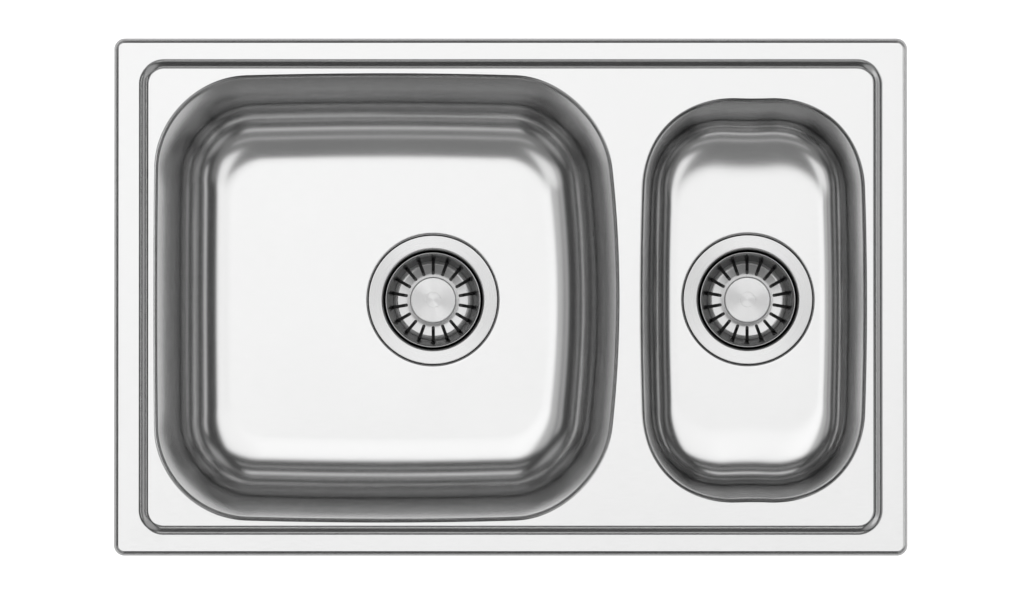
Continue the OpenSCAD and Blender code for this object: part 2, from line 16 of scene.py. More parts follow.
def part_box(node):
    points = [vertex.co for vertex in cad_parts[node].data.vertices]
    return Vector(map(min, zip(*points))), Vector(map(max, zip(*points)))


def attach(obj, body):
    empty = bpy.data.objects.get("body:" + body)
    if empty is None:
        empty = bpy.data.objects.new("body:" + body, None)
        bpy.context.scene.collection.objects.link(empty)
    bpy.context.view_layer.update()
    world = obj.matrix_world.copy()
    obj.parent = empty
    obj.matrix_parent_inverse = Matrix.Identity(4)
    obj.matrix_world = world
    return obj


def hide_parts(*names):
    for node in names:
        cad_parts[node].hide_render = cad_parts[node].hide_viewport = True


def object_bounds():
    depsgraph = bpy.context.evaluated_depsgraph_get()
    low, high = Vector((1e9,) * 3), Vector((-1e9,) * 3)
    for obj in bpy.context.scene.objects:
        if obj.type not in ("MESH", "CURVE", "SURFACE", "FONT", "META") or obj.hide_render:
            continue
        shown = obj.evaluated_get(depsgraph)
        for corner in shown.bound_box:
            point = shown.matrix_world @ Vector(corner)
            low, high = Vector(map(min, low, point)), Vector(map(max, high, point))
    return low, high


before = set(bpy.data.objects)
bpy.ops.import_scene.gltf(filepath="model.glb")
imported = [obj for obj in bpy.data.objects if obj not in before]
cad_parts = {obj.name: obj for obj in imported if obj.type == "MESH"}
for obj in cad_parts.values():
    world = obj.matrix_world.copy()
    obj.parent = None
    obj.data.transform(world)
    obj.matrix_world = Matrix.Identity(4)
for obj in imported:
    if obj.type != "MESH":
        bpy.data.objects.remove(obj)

LOG = logging.getLogger("sink")
MM = 0.001
WELD = MM / 1000

# Bends between faces, in degrees: what shades as an edge, what gets rounded and what is flat
SHARP, BEND, FLAT = 35.0, 30.0, 1.0

# Least rise of an upright edge, as a share of its length
UPRIGHT = 0.9

# Thickness of the sheets, a short flat strip beside a bend, and how far the wastes' flanges
# stand below the bowls' floors
SHEET = 1 * MM
MARGIN = 1 * MM
FLANGE_DEPTH = 1.2 * MM

UP = Vector((0, 0, 1))
ORIGIN = Vector((0, 0, 0))
STEEL_GREY = (0.63, 0.63, 0.63)
CAD_BOX = [list(corner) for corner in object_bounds()]

# Steps of an arc, from the round of a cut edge to the bend of a sheet
EDGE_STEPS, LIP_STEPS, FILLET_STEPS, ROLL_STEPS, BEND_STEPS = 3, 4, 6, 8, 10

# Closest points of a screw thread as a share of its pitch, and one turn of its profile, as
# shares of its depth below the crest and of its pitch
THREAD_WELD = 0.01
THREAD_PROFILE = ((1, 0), (0, 0.4), (0, 0.5), (1, 0.9), (1, 1))

Point = tuple[float, float]
Path = list[Point]
Mesh = bmesh.types.BMesh
Socket = bpy.types.NodeSocket


# Paths and outlines

def arc(centre: Point, radius: float, start: float, end: float, steps: int) -> Path:
    """Points along an arc.

    Args:
        centre: Centre of the arc.
        radius: Radius of the arc.
        start: Angle of the first point, in degrees.
        end: Angle of the last point, in degrees.
        steps: Number of equal steps.

    Returns:
        The points, first and last included.
    """
    angles = [math.radians(start + (end - start) * i / steps) for i in range(steps + 1)]
    return [(centre[0] + radius * math.cos(a), centre[1] + radius * math.sin(a)) for a in angles]


def between(a: Point, b: Point, steps: int) -> Path:
    """Points that divide the line from a to b into equal steps, without its ends."""
    return [(a[0] + (b[0] - a[0]) * i / steps, a[1] + (b[1] - a[1]) * i / steps)
            for i in range(1, steps)]


def swept(a: Point, b: Point, spare: float, steps: int) -> Path:
    """An S-shaped path between two levels.

    Args:
        a: Start of the path.
        b: End of the path.
        spare: Share of the curve that is left out at either end, so that it starts at a slope.
        steps: Number of steps.

    Returns:
        The points, first and last included.
    """
    def height(share: float) -> float:
        """Height of the curve, from -1 to 1."""
        return -math.cos(math.pi * (spare + (1 - 2 * spare) * share))

    return [(a[0] + (b[0] - a[0]) * i / steps,
             a[1] + (b[1] - a[1]) * (height(i / steps) / height(1) + 1) / 2)
            for i in range(steps + 1)]


def rounded(x: float, y: float, corner: float, corner_steps: int, side_steps: int) -> Path:
    """A rounded rectangle, anticlockwise.

    Args:
        x: Half its length.
        y: Half its width.
        corner: Radius of its corners.
        corner_steps: Steps round each corner.
        side_steps: Steps along each side.

    Returns:
        The points of the closed outline.
    """
    cx, cy = x - corner, y - corner
    return (
        arc((cx, cy), corner, 0, 90, corner_steps) + between((cx, y), (-cx, y), side_steps)
        + arc((-cx, cy), corner, 90, 180, corner_steps) + between((-x, cy), (-x, -cy), side_steps)
        + arc((-cx, -cy), corner, 180, 270, corner_steps)
        + between((-cx, -y), (cx, -y), side_steps)
        + arc((cx, -cy), corner, 270, 360, corner_steps) + between((x, -cy), (x, cy), side_steps)
    )


def bowed(outline: Path, x: float, y: float, bow: tuple[float, float, float]) -> Path:
    """An outline whose sides curve outwards between its corners.

    Args:
        outline: Rounded rectangle about the origin.
        x: Half its length.
        y: Half its width.
        bow: How far the left, the right and the long sides bow.

    Returns:
        The bowed outline.
    """
    def moved(px: float, py: float) -> Point:
        """One point, drawn in towards the corners."""
        ends = (bow[0] if px < 0 else bow[1]) * (py / y) ** 2 * px / x
        return px - ends, py - bow[2] * (px / x) ** 2 * py / y

    return [moved(px, py) for px, py in outline]


def offset(path: Path, distance: float) -> Path:
    """A path that follows another on its left side.

    Args:
        path: The path that is followed.
        distance: Distance between the two.

    Returns:
        The points of the new path.
    """
    def normal(a: Point, b: Point) -> Vector:
        """Unit vector to the left of a step."""
        return Vector((a[1] - b[1], b[0] - a[0])).normalized()

    moved = []
    for i, point in enumerate(path):
        before = normal(path[max(i - 1, 0)], path[max(i, 1)])
        after = normal(path[min(i, len(path) - 2)], path[min(i + 1, len(path) - 1)])
        middle = (before + after).normalized()
        moved.append(tuple(Vector(point) + middle * distance / middle.dot(before)))
    return moved


def shifted(path: Path, x: float, y: float) -> Path:
    """A path moved by a distance along either axis."""
    return [(px + x, py + y) for px, py in path]


def circle(radius: float, steps: int) -> Path:
    """A circle about the origin as a closed outline."""
    return arc((0, 0), radius, 0, 360, steps)[:-1]


def groove(radius: float, top: float, depth: float, floor: float, mouth: float) -> Path:
    """Section of a ring pressed in a level face, by half its width at its floor and mouth."""
    return [(radius - mouth, top), (radius - floor, top - depth),
            (radius + floor, top - depth), (radius + mouth, top)]


def soft_box(near: float, far: float, bottom: float, top: float, radius: float) -> Path:
    """Closed section of a ring with rounded edges, from its inner to its outer radius."""
    shape = rounded((far - near) / 2, (top - bottom) / 2, radius, LIP_STEPS, side_steps=1)
    return shifted(shape, (near + far) / 2, (bottom + top) / 2)


# Mesh work

def loft(bm: Mesh, sections: list[tuple[Path, float]]) -> list[list[bmesh.types.BMEdge]]:
    """A skin over closed outlines, each at its own height.

    The rings are bridged while they stand a metre apart, because flat rings about one centre
    give a bridge no direction.

    Args:
        bm: Mesh that gets the skin.
        sections: Outline and height of each ring.

    Returns:
        The edges of the first and the last ring.
    """
    rings, stacked = [], []
    for level, (outline, _) in enumerate(sections):
        verts = [bm.verts.new((x, y, level)) for x, y in outline]
        stacked.append(verts)
        rings.append([bm.edges.new(pair) for pair in zip(verts, verts[1:] + verts[:1])])
    for near, far in zip(rings, rings[1:]):
        bmesh.ops.bridge_loops(bm, edges=near + far)
    for verts, (_, height) in zip(stacked, sections):
        for vert in verts:
            vert.co.z = height
    return [rings[0], rings[-1]]


def spun(path: Path, steps: int, closed: bool = False, turns: int = 1,
         rise: float = 0.0) -> Mesh:
    """A path of radius and height, turned about the Z axis.

    Args:
        path: Points of the section.
        steps: Number of steps in one turn.
        closed: Whether the section's last point joins its first.
        turns: Number of turns.
        rise: How far the section rises in one turn.

    Returns:
        The turned mesh.
    """
    bm = bmesh.new()
    verts = [bm.verts.new((r, 0, z)) for r, z in path]
    pairs = list(zip(verts, verts[1:])) + ([(verts[-1], verts[0])] if closed else [])
    edges = [bm.edges.new(pair) for pair in pairs]
    bmesh.ops.spin(bm, geom=verts + edges, axis=UP, cent=ORIGIN, dvec=(0, 0, rise / steps),
                   angle=math.tau * turns, steps=steps * turns, use_merge=not rise,
                   use_normal_flip=False, use_duplicate=False)
    if not rise:
        bmesh.ops.remove_doubles(bm, verts=bm.verts, dist=WELD)
    return bm


def cap(bm: Mesh) -> None:
    """Closes the open ends of a mesh."""
    bmesh.ops.holes_fill(bm, edges=[e for e in bm.edges if e.is_boundary], sides=0)


def thread(radius: float, depth: float, pitch: float, bottom: float, top: float,
           steps: int) -> Mesh:
    """A threaded rod, closed at both ends.

    Args:
        radius: Radius at the crests.
        depth: Depth of the groove.
        pitch: Rise of one turn.
        bottom: Height of the lower end.
        top: Height of the upper end.
        steps: Steps in one turn.

    Returns:
        The rod's mesh.
    """
    turns = int((top - bottom) / pitch) - 1
    start = bottom + (top - bottom - (turns + 1) * pitch) / 2
    section = [(radius - low * depth, start + share * pitch) for low, share in THREAD_PROFILE]
    bm = spun(section, steps, rise=pitch)
    turn = list(bm.verts) + list(bm.edges) + list(bm.faces)
    for i in range(1, turns):
        copied = bmesh.ops.duplicate(bm, geom=turn)["geom"]
        raised = [item for item in copied if isinstance(item, bmesh.types.BMVert)]
        bmesh.ops.translate(bm, verts=raised, vec=(0, 0, i * pitch))
    bmesh.ops.remove_doubles(bm, verts=bm.verts, dist=THREAD_WELD * pitch)
    cap(bm)
    return bm


def prism(bm: Mesh, radius: float, height: float, sides: int, place: Matrix) -> None:
    """Adds an upright prism about a place."""
    bmesh.ops.create_cone(bm, cap_ends=True, segments=sides, radius1=radius, radius2=radius,
                          depth=height, matrix=place)


def block(bm: Mesh, size: tuple[float, float, float], place: Matrix) -> list[bmesh.types.BMVert]:
    """Adds a box about a place and gives its corners."""
    sized = place @ Matrix.Diagonal((*size, 1))
    return bmesh.ops.create_cube(bm, size=1, matrix=sized)["verts"]


def bevel(bm: Mesh, edges: list[bmesh.types.BMEdge], width: float, segments: int = 2,
          clamp: bool = False) -> None:
    """Rounds edges over a width, held inside the faces beside them if clamp is set."""
    bmesh.ops.bevel(bm, geom=edges, offset=width, offset_type="OFFSET", segments=segments,
                    profile=0.5, affect="EDGES", material=-1, clamp_overlap=clamp)


def upright(edge: bmesh.types.BMEdge) -> bool:
    """Whether an edge stands upright."""
    return abs((edge.verts[0].co - edge.verts[1].co).normalized().z) > UPRIGHT


def face(bm: Mesh, upwards: bool = False) -> None:
    """Turns the faces of a mesh to its outer side.

    Args:
        bm: The mesh.
        upwards: Whether it is an open sheet, whose outer side is its upper one.
    """
    bmesh.ops.recalc_face_normals(bm, faces=bm.faces)
    if upwards:
        facing = sum(f.normal.z * f.calc_area() for f in bm.faces)
    else:
        facing = bm.calc_volume(signed=True)
    if facing < 0:
        bmesh.ops.reverse_faces(bm, faces=bm.faces)


def sharpen(bm: Mesh, sharp: float) -> None:
    """Shades a mesh smoothly, but for open edges and sharp bends.

    Args:
        bm: The mesh.
        sharp: Smallest bend that shades as an edge, in degrees.
    """
    for side in bm.faces:
        side.smooth = True
    for edge in bm.edges:
        edge.smooth = edge.is_manifold and edge.calc_face_angle() < math.radians(sharp)


def stored(bm: Mesh, name: str) -> bpy.types.Mesh:
    """Writes a mesh to a new data block and frees it.

    Args:
        bm: The mesh.
        name: Name of the data block.

    Returns:
        The data block.
    """
    mesh = bpy.data.meshes.new(name)
    bm.to_mesh(mesh)
    bm.free()
    return mesh


def placed(name: str, data: bpy.types.ID) -> bpy.types.Object:
    """Puts a data block into the scene.

    Args:
        name: Name of the new object.
        data: Its mesh, light or camera.

    Returns:
        The new object.
    """
    made = bpy.data.objects.new(name, data)
    bpy.context.scene.collection.objects.link(made)
    return made


def join(bm: Mesh, part: Mesh) -> None:
    """Adds a closed part to a mesh.

    Args:
        bm: Mesh that gets the part.
        part: The part, which is freed.
    """
    face(part)
    mesh = stored(part, "part")
    bm.from_mesh(mesh)
    bpy.data.meshes.remove(mesh)


def cut(piece: bpy.types.Object, solids: Mesh) -> None:
    """Takes solids out of a piece and shades it again.

    Args:
        piece: The piece.
        solids: What is taken out, which is freed.
    """
    cutter = placed("cutter", stored(solids, "cutter"))
    modifier = piece.modifiers.new("cut", "BOOLEAN")
    modifier.object = cutter
    modifier.operation = "DIFFERENCE"
    modifier.solver = "MANIFOLD"
    graph = bpy.context.evaluated_depsgraph_get()
    made = bpy.data.meshes.new_from_object(piece.evaluated_get(graph))
    piece.modifiers.clear()
    piece.data = made
    bpy.data.objects.remove(cutter)
    bm = bmesh.new()
    bm.from_mesh(made)
    sharpen(bm, SHARP)
    bm.to_mesh(made)
    bm.free()


def thicken(piece: bpy.types.Object, thickness: float) -> None:
    """Gives a sheet its thickness, under the face that it was drawn with.

    Args:
        piece: The sheet.
        thickness: Its thickness.
    """
    solid = piece.modifiers.new("thickness", "SOLIDIFY")
    solid.thickness = thickness
    solid.offset = -1
    solid.use_even_offset = True


def softened(node: str, radius: float, segments: int) -> Mesh:
    """A copy of a CAD node's mesh with its edges rounded.

    Args:
        node: The CAD node.
        radius: Width of the rounding.
        segments: Steps across the rounding.

    Returns:
        The copy's mesh.
    """
    bm = bmesh.new()
    bm.from_mesh(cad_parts[node].data)
    bmesh.ops.remove_doubles(bm, verts=bm.verts, dist=WELD)
    bmesh.ops.dissolve_limit(bm, angle_limit=math.radians(FLAT), verts=bm.verts, edges=bm.edges)
    edges = [e for e in bm.edges if e.is_manifold and e.calc_face_angle() > math.radians(BEND)]
    bevel(bm, edges, radius, segments, clamp=True)
    return bm


def top_middle(node: str, above: float = 0.0) -> Vector:
    """The middle of a CAD node's upper end, or a point straight above it."""
    low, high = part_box(node)
    return Vector(((low.x + high.x) / 2, (low.y + high.y) / 2, high.z + above))


# Finishes

class Nodes:
    """Adds nodes to a tree and links them."""

    NOISE_LOW = 0.3
    NOISE_HIGH = 0.7

    def __init__(self, tree: bpy.types.NodeTree) -> None:
        """Starts with an empty tree."""
        self.tree = tree
        tree.nodes.clear()

    def add(self, kind: str, inputs: dict | None = None, **settings: object) -> bpy.types.Node:
        """Adds a node.

        Args:
            kind: Blender's name of the node type.
            inputs: Value or socket for each input that isn't left as it is.
            settings: The node's own settings.

        Returns:
            The new node.
        """
        node = self.tree.nodes.new(kind)
        for name, value in settings.items():
            setattr(node, name, value)
        for name, value in (inputs or {}).items():
            if isinstance(value, bpy.types.NodeSocket):
                self.tree.links.new(value, node.inputs[name])
            else:
                node.inputs[name].default_value = value
        return node

    def math(self, operation: str, *values: object) -> Socket:
        """The result of a Math node."""
        return self.add("ShaderNodeMath", dict(enumerate(values)), operation=operation).outputs[0]

    def vector(self, operation: str, *values: object) -> Socket:
        """The result of a Vector Math node."""
        node = self.add("ShaderNodeVectorMath", dict(enumerate(values)), operation=operation)
        return node.outputs["Value" if operation == "LENGTH" else "Vector"]

    def radius(self, place: Socket) -> Socket:
        """Distance from the Z axis."""
        return self.vector("LENGTH", self.vector("MULTIPLY", place, (1, 1, 0)))

    def remap(self, value: object, low: float, high: float, to_low: float, to_high: float,
              soft: bool = False) -> Socket:
        """A value moved from one range to another and held inside it, in an S curve if soft."""
        return self.add("ShaderNodeMapRange", {
            "Value": value, "From Min": low, "From Max": high, "To Min": to_low, "To Max": to_high,
        }, interpolation_type="SMOOTHSTEP" if soft else "LINEAR").outputs["Result"]

    def noise(self, vector: object, scale: float, detail: float) -> Socket:
        """Noise between 0 and 1."""
        inputs = {"Vector": vector, "Scale": scale, "Detail": detail}
        return self.add("ShaderNodeTexNoise", inputs).outputs["Fac"]

    def around(self, noise: Socket, middle: float, spread: float) -> Socket:
        """A value that a noise moves by a spread to either side of its middle."""
        return self.remap(noise, self.NOISE_LOW, self.NOISE_HIGH, middle - spread, middle + spread)

    def window(self, angle: Socket, low: float, high: float, edge: float) -> Socket:
        """One between two angles and zero beyond them, fading over an edge on either side."""
        return self.math("MULTIPLY", self.remap(angle, low - edge, low + edge, 0, 1, soft=True),
                         self.remap(angle, high - edge, high + edge, 1, 0, soft=True))

    def tint(self, share: Socket, first: tuple, second: tuple) -> Socket:
        """A colour between two colours, by the share of the second."""
        inputs = {"Factor": share, "A": (*first, 1), "B": (*second, 1)}
        return self.add("ShaderNodeMix", inputs, data_type="RGBA").outputs["Result"]


class Brushing(Enum):
    """How a steel surface was finished, with the scale of the marks that this left."""

    SATIN = (90, 2200, 2200)
    ROUND = 3200.0
    POLISHED = 900.0
    PLATED = 350.0


@dataclass(frozen=True)
class Finish:
    """What a piece's surface is made of."""

    name: str
    slot: str
    colour: tuple[float, float, float]

    def start(self, centre: Vector) -> tuple[bpy.types.Material, Nodes, Socket]:
        """Starts the finish's material.

        Args:
            centre: Where the place is measured from.

        Returns:
            The material, its empty tree and the place in the object's own coordinates.
        """
        material = bpy.data.materials.new(self.name)
        material.use_nodes = True
        nodes = Nodes(material.node_tree)
        coordinates = nodes.add("ShaderNodeTexCoord").outputs["Object"]
        return material, nodes, nodes.vector("SUBTRACT", coordinates, centre)

    def material(self, centre: Vector) -> bpy.types.Material:
        """The finish's material, with its pattern about a centre."""
        raise NotImplementedError

    def shade(self, share: float) -> tuple[float, float, float]:
        """The colour, darkened to a share of itself."""
        return tuple(c * share for c in self.colour)


@dataclass(frozen=True)
class Steel(Finish):
    """Bare or plated steel."""

    brushing: Brushing
    roughness: float
    anisotropy: float = 0.0
    brush_depth: float = 0.0005 * MM
    brush_strength: float = 0.6
    cloud_scale: float = 14.0
    cloud_share: float = 0.97
    roughness_spread: float = 0.1
    # Painted shade: within this radius of the centre the colour fades over an edge to a small share
    # of itself, standing for the shade deep inside a waste's cup; the roughness there is raised to
    # a matt surface
    painted_shade_within: float = 0.0
    painted_shade_edge: float = 1 * MM
    dull_roughness: float = 0.5
    painted_shade_share: float = 0.15

    def material(self, centre: Vector) -> bpy.types.Material:
        """The steel's material.

        Args:
            centre: A point on the axis that turned steel was brushed about.

        Returns:
            The new material.
        """
        material, nodes, place = self.start(centre)
        grain = self.grain(nodes, place)
        cloud = nodes.noise(place, self.cloud_scale, detail=3.0)
        spread = self.roughness_spread * self.roughness
        rough = nodes.math("ADD", nodes.around(grain, 0, spread),
                           nodes.around(cloud, self.roughness, spread / 2))
        light, mottle_and_painted_shade = cloud, self.shade(self.cloud_share)
        # Painted shade: inside this radius the base colour is darkened to stand for the shade in
        # the cup, not a duller tone of the steel; only the raised roughness is the surface's own
        if self.painted_shade_within:
            light = nodes.remap(nodes.radius(place), self.painted_shade_within - self.painted_shade_edge,
                                self.painted_shade_within, 0, 1)
            mottle_and_painted_shade = self.shade(self.painted_shade_share)
            dull = nodes.remap(light, 0, 1, self.dull_roughness, 0)
            rough = nodes.math("MAXIMUM", rough, dull)
        bump = nodes.add("ShaderNodeBump", {
            "Strength": self.brush_strength, "Distance": self.brush_depth, "Height": grain})
        shader = nodes.add("ShaderNodeBsdfPrincipled", {
            "Base Color": nodes.tint(light, mottle_and_painted_shade, self.colour), "Metallic": 1.0,
            "Roughness": rough, "Normal": bump.outputs[0], "Anisotropic": self.anisotropy})
        if self.brushing is Brushing.ROUND:
            turned = nodes.add("ShaderNodeVectorTransform", {
                0: nodes.vector("CROSS_PRODUCT", (0, 0, 1), place),
            }, vector_type="VECTOR", convert_from="OBJECT", convert_to="WORLD")
            unit = nodes.vector("NORMALIZE", turned.outputs[0])
            nodes.tree.links.new(unit, shader.inputs["Tangent"])
        nodes.add("ShaderNodeOutputMaterial", {"Surface": shader.outputs[0]})
        return material

    def grain(self, nodes: Nodes, place: Socket) -> Socket:
        """Height of the fine marks that the finishing left, from 0 to 1.

        Args:
            nodes: The material's tree.
            place: The place seen from the finish's centre.

        Returns:
            The height.
        """
        scale = self.brushing.value
        if self.brushing is Brushing.SATIN:
            return nodes.noise(nodes.vector("MULTIPLY", place, scale), 1.0, detail=1.0)
        if self.brushing is Brushing.ROUND:
            inputs = {"W": nodes.radius(place), "Scale": scale, "Detail": 2.0}
            lines = nodes.add("ShaderNodeTexNoise", inputs, noise_dimensions="1D")
            return lines.outputs["Fac"]
        return nodes.noise(place, scale, detail=3.0)


@dataclass(frozen=True)
class Moulded(Finish):
    """Moulded plastic or rubber, with a fine surface texture."""

    roughness: float
    grain_scale: float = 900.0
    grain_depth: float = 0.03 * MM
    grain_strength: float = 0.5
    roughness_spread: float = 0.06
    cloud_scale: float = 40.0
    cloud_low: float = 0.35
    cloud_high: float = 0.65
    mottle: float = 0.15

    def material(self, centre: Vector) -> bpy.types.Material:
        """The material.

        Args:
            centre: Where its pattern is measured from.

        Returns:
            The new material.
        """
        material, nodes, place = self.start(centre)
        grain = nodes.noise(place, self.grain_scale, detail=3.0)
        cloud = nodes.remap(nodes.noise(place, self.cloud_scale, detail=3.0), self.cloud_low,
                            self.cloud_high, 0, 1)
        bump = nodes.add("ShaderNodeBump", {
            "Strength": self.grain_strength, "Distance": self.grain_depth, "Height": grain})
        shader = nodes.add("ShaderNodeBsdfPrincipled", {
            "Base Color": nodes.tint(cloud, self.shade(1 - self.mottle), self.colour),
            "Roughness": nodes.around(grain, self.roughness, self.roughness_spread),
            "Normal": bump.outputs[0]})
        nodes.add("ShaderNodeOutputMaterial", {"Surface": shader.outputs[0]})
        return material


SINK_STEEL = Steel("satin_sink_steel", "sink_steel", STEEL_GREY, Brushing.SATIN, roughness=0.19)
# The cup's steel: inside a 44 mm radius its colour is painted shade that darkens the inside of the
# waste
FLANGE_STEEL = Steel("brushed_flange_steel", "strainer_steel", STEEL_GREY, Brushing.ROUND,
                     roughness=0.27, anisotropy=0.8, painted_shade_within=44 * MM)
KNOB_STEEL = Steel("brushed_knob_steel", "knob_steel", (0.88, 0.88, 0.88), Brushing.ROUND,
                   roughness=0.37, anisotropy=0.99)
BASKET_STEEL = Steel("polished_basket_steel", "strainer_steel", (0.5, 0.5, 0.5),
                     Brushing.POLISHED, roughness=0.18)
ZINC = Steel("zinc_plate", "plated_steel", (0.68, 0.70, 0.72), Brushing.PLATED,
             roughness=0.32, brush_depth=0.01 * MM)
FOAM = Moulded("seal_foam", "seal_foam", (0.12, 0.12, 0.12), roughness=0.9,
               grain_scale=1500.0, grain_depth=0.2 * MM, mottle=0.3)
RUBBER = Moulded("black_rubber", "seal_rubber", (0.05, 0.05, 0.05), roughness=0.55)
PAD = Moulded("sound_pad_sheet", "pad_rubber", (0.22, 0.22, 0.23), roughness=0.8,
              grain_scale=500.0, grain_depth=0.15 * MM, mottle=0.25)
PLASTIC = Moulded("moulded_plastic", "waste_plastic", (0.86, 0.86, 0.85), roughness=0.42,
                  grain_scale=1200.0, grain_depth=0.02 * MM, mottle=0.03)


def to_piece(bm: Mesh, node: str, body: str, finish: Finish, place: Vector = ORIGIN,
             sharp: float = SHARP) -> bpy.types.Object:
    """Makes a piece that stands for a CAD node.

    Args:
        bm: The piece's mesh, which is freed.
        node: CAD node that it replaces.
        body: CAD body that it rides on.
        finish: What its surface is made of.
        place: Where the mesh's own origin goes.
        sharp: Smallest bend that shades as an edge, in degrees.

    Returns:
        The new object.
    """
    bmesh.ops.translate(bm, verts=bm.verts, vec=place)
    sharpen(bm, sharp)
    mesh = stored(bm, f"{node}_piece")
    mesh.materials.append(finish.material(place))
    piece = placed(f"{node}_piece", mesh)
    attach(piece, body)
    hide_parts(node)
    LOG.info("%s: %d faces", piece.name, len(mesh.polygons))
    return piece


# The sink

@dataclass
class Bowl:
    """One deep-drawn bowl, from the deck down to its waste."""

    node: str
    place: Vector
    half_x: float
    half_y: float
    depth: float
    corner: float
    floor_corner: float
    floor_radius: float
    rim_draft: float
    draft: float
    lean: float
    floor_lean: float
    bow: tuple[float, float, float]
    waste: Vector
    edge: float = 8 * MM
    edge_start: float = 0.85 * MM
    edge_crease: float = 36.0
    bow_kept: float = 0.6
    lip: float = 0.3 * MM
    recess: float = 56.1 * MM
    recess_depth: float = 3 * MM
    recess_round: float = 2 * MM
    recess_foot: float = 0.8 * MM
    recess_around: int = 128
    hole: float = 45 * MM
    wall_steps: int = 18
    floor_steps: int = 26
    floor_margin: float = 1.5 * MM
    corner_steps: int = 24
    side_steps: int = 24
    sharp: float = 32.0

    def wall_radius(self) -> float:
        """The arc that the wall follows, from the rim's draft to its own.

        Returns:
            The arc's radius.
        """
        rim, foot = math.sin(math.radians(self.rim_draft)), math.sin(math.radians(self.draft))
        drop = self.edge * (math.cos(math.radians(self.edge_crease)) - rim)
        return (self.depth - drop - self.floor_radius * (1 - foot)) / (rim - foot)

    def floor_inset(self) -> float:
        """How far the flat floor lies inside the opening.

        Returns:
            The distance at the ends of the bowl.
        """
        rim, foot = math.cos(math.radians(self.rim_draft)), math.cos(math.radians(self.draft))
        edge = self.edge * (rim - math.sin(math.radians(self.edge_crease)))
        return (self.edge_start + edge + self.floor_radius * foot
                + self.wall_radius() * (foot - rim))

    def section(self) -> Path:
        """The wall's section.

        Returns:
            Inset and height of its points, from the lip to just inside the floor.
        """
        inset, reach = self.floor_inset(), self.edge - self.wall_radius()
        slope, crease = math.radians(self.rim_draft), math.radians(self.edge_crease)
        x, z = self.edge_start - self.edge * math.sin(crease), -self.edge * math.cos(crease)
        wall = (x + reach * math.cos(slope), z + reach * math.sin(slope))
        floor = (inset, self.floor_radius - self.depth)
        return (
            [(-self.lip, 0.0)]
            + arc((x, z), self.edge, 90 - self.edge_crease, self.rim_draft, BEND_STEPS)
            + arc(wall, self.wall_radius(), self.rim_draft, self.draft, self.wall_steps)[1:-1]
            + arc(floor, self.floor_radius, 180 + self.draft, 270, self.floor_steps)
            + [(inset + self.floor_margin, -self.depth)]
        )

    def outline(self, inset: float) -> Path:
        """The bowl's outline in the frame's axes.

        Args:
            inset: Distance from the opening, at the ends.

        Returns:
            The points of the closed outline.
        """
        share = inset / self.floor_inset()
        lean = self.lean + (self.floor_lean - self.lean) * share
        x, y = self.half_x - inset, self.half_y - inset * lean
        corner = self.corner + (self.floor_corner - self.corner) * share
        kept = 1 - (1 - self.bow_kept) * share
        shape = rounded(x, y, corner, self.corner_steps, self.side_steps)
        points = bowed(shape, x, y, tuple(b * kept for b in self.bow))
        return shifted(points, self.place.x, self.place.y)

    def recess_section(self) -> Path:
        """The section of the waste's recess.

        Returns:
            Radius and height of its points, from the floor down and in to the waste's hole.
        """
        top, bend = self.recess + self.recess_round, self.recess_round
        foot, deep = self.recess_foot, -self.recess_depth
        return (
            [(top + MARGIN, 0.0)] + arc((top, -bend), bend, 90, 180, BEND_STEPS)
            + arc((self.recess - foot, foot + deep), foot, 0, -90, FILLET_STEPS)
            + [(self.recess - 2 * foot, deep), (self.hole, deep)]
        )

    def build(self) -> None:
        """Builds the bowl's sheet."""
        bm = bmesh.new()
        walls = [(self.outline(inset), self.place.z + z) for inset, z in self.section()]
        floor = self.place.z - self.depth
        rounds = [(shifted(circle(radius, self.recess_around), self.waste.x, self.waste.y),
                   floor + z) for radius, z in self.recess_section()]
        foot = loft(bm, walls)[1]
        mouth = loft(bm, rounds)[0]
        bmesh.ops.triangle_fill(bm, use_beauty=True, edges=foot + mouth, normal=UP)
        face(bm, upwards=True)
        thicken(to_piece(bm, self.node, "sink", SINK_STEEL, sharp=self.sharp), SHEET)


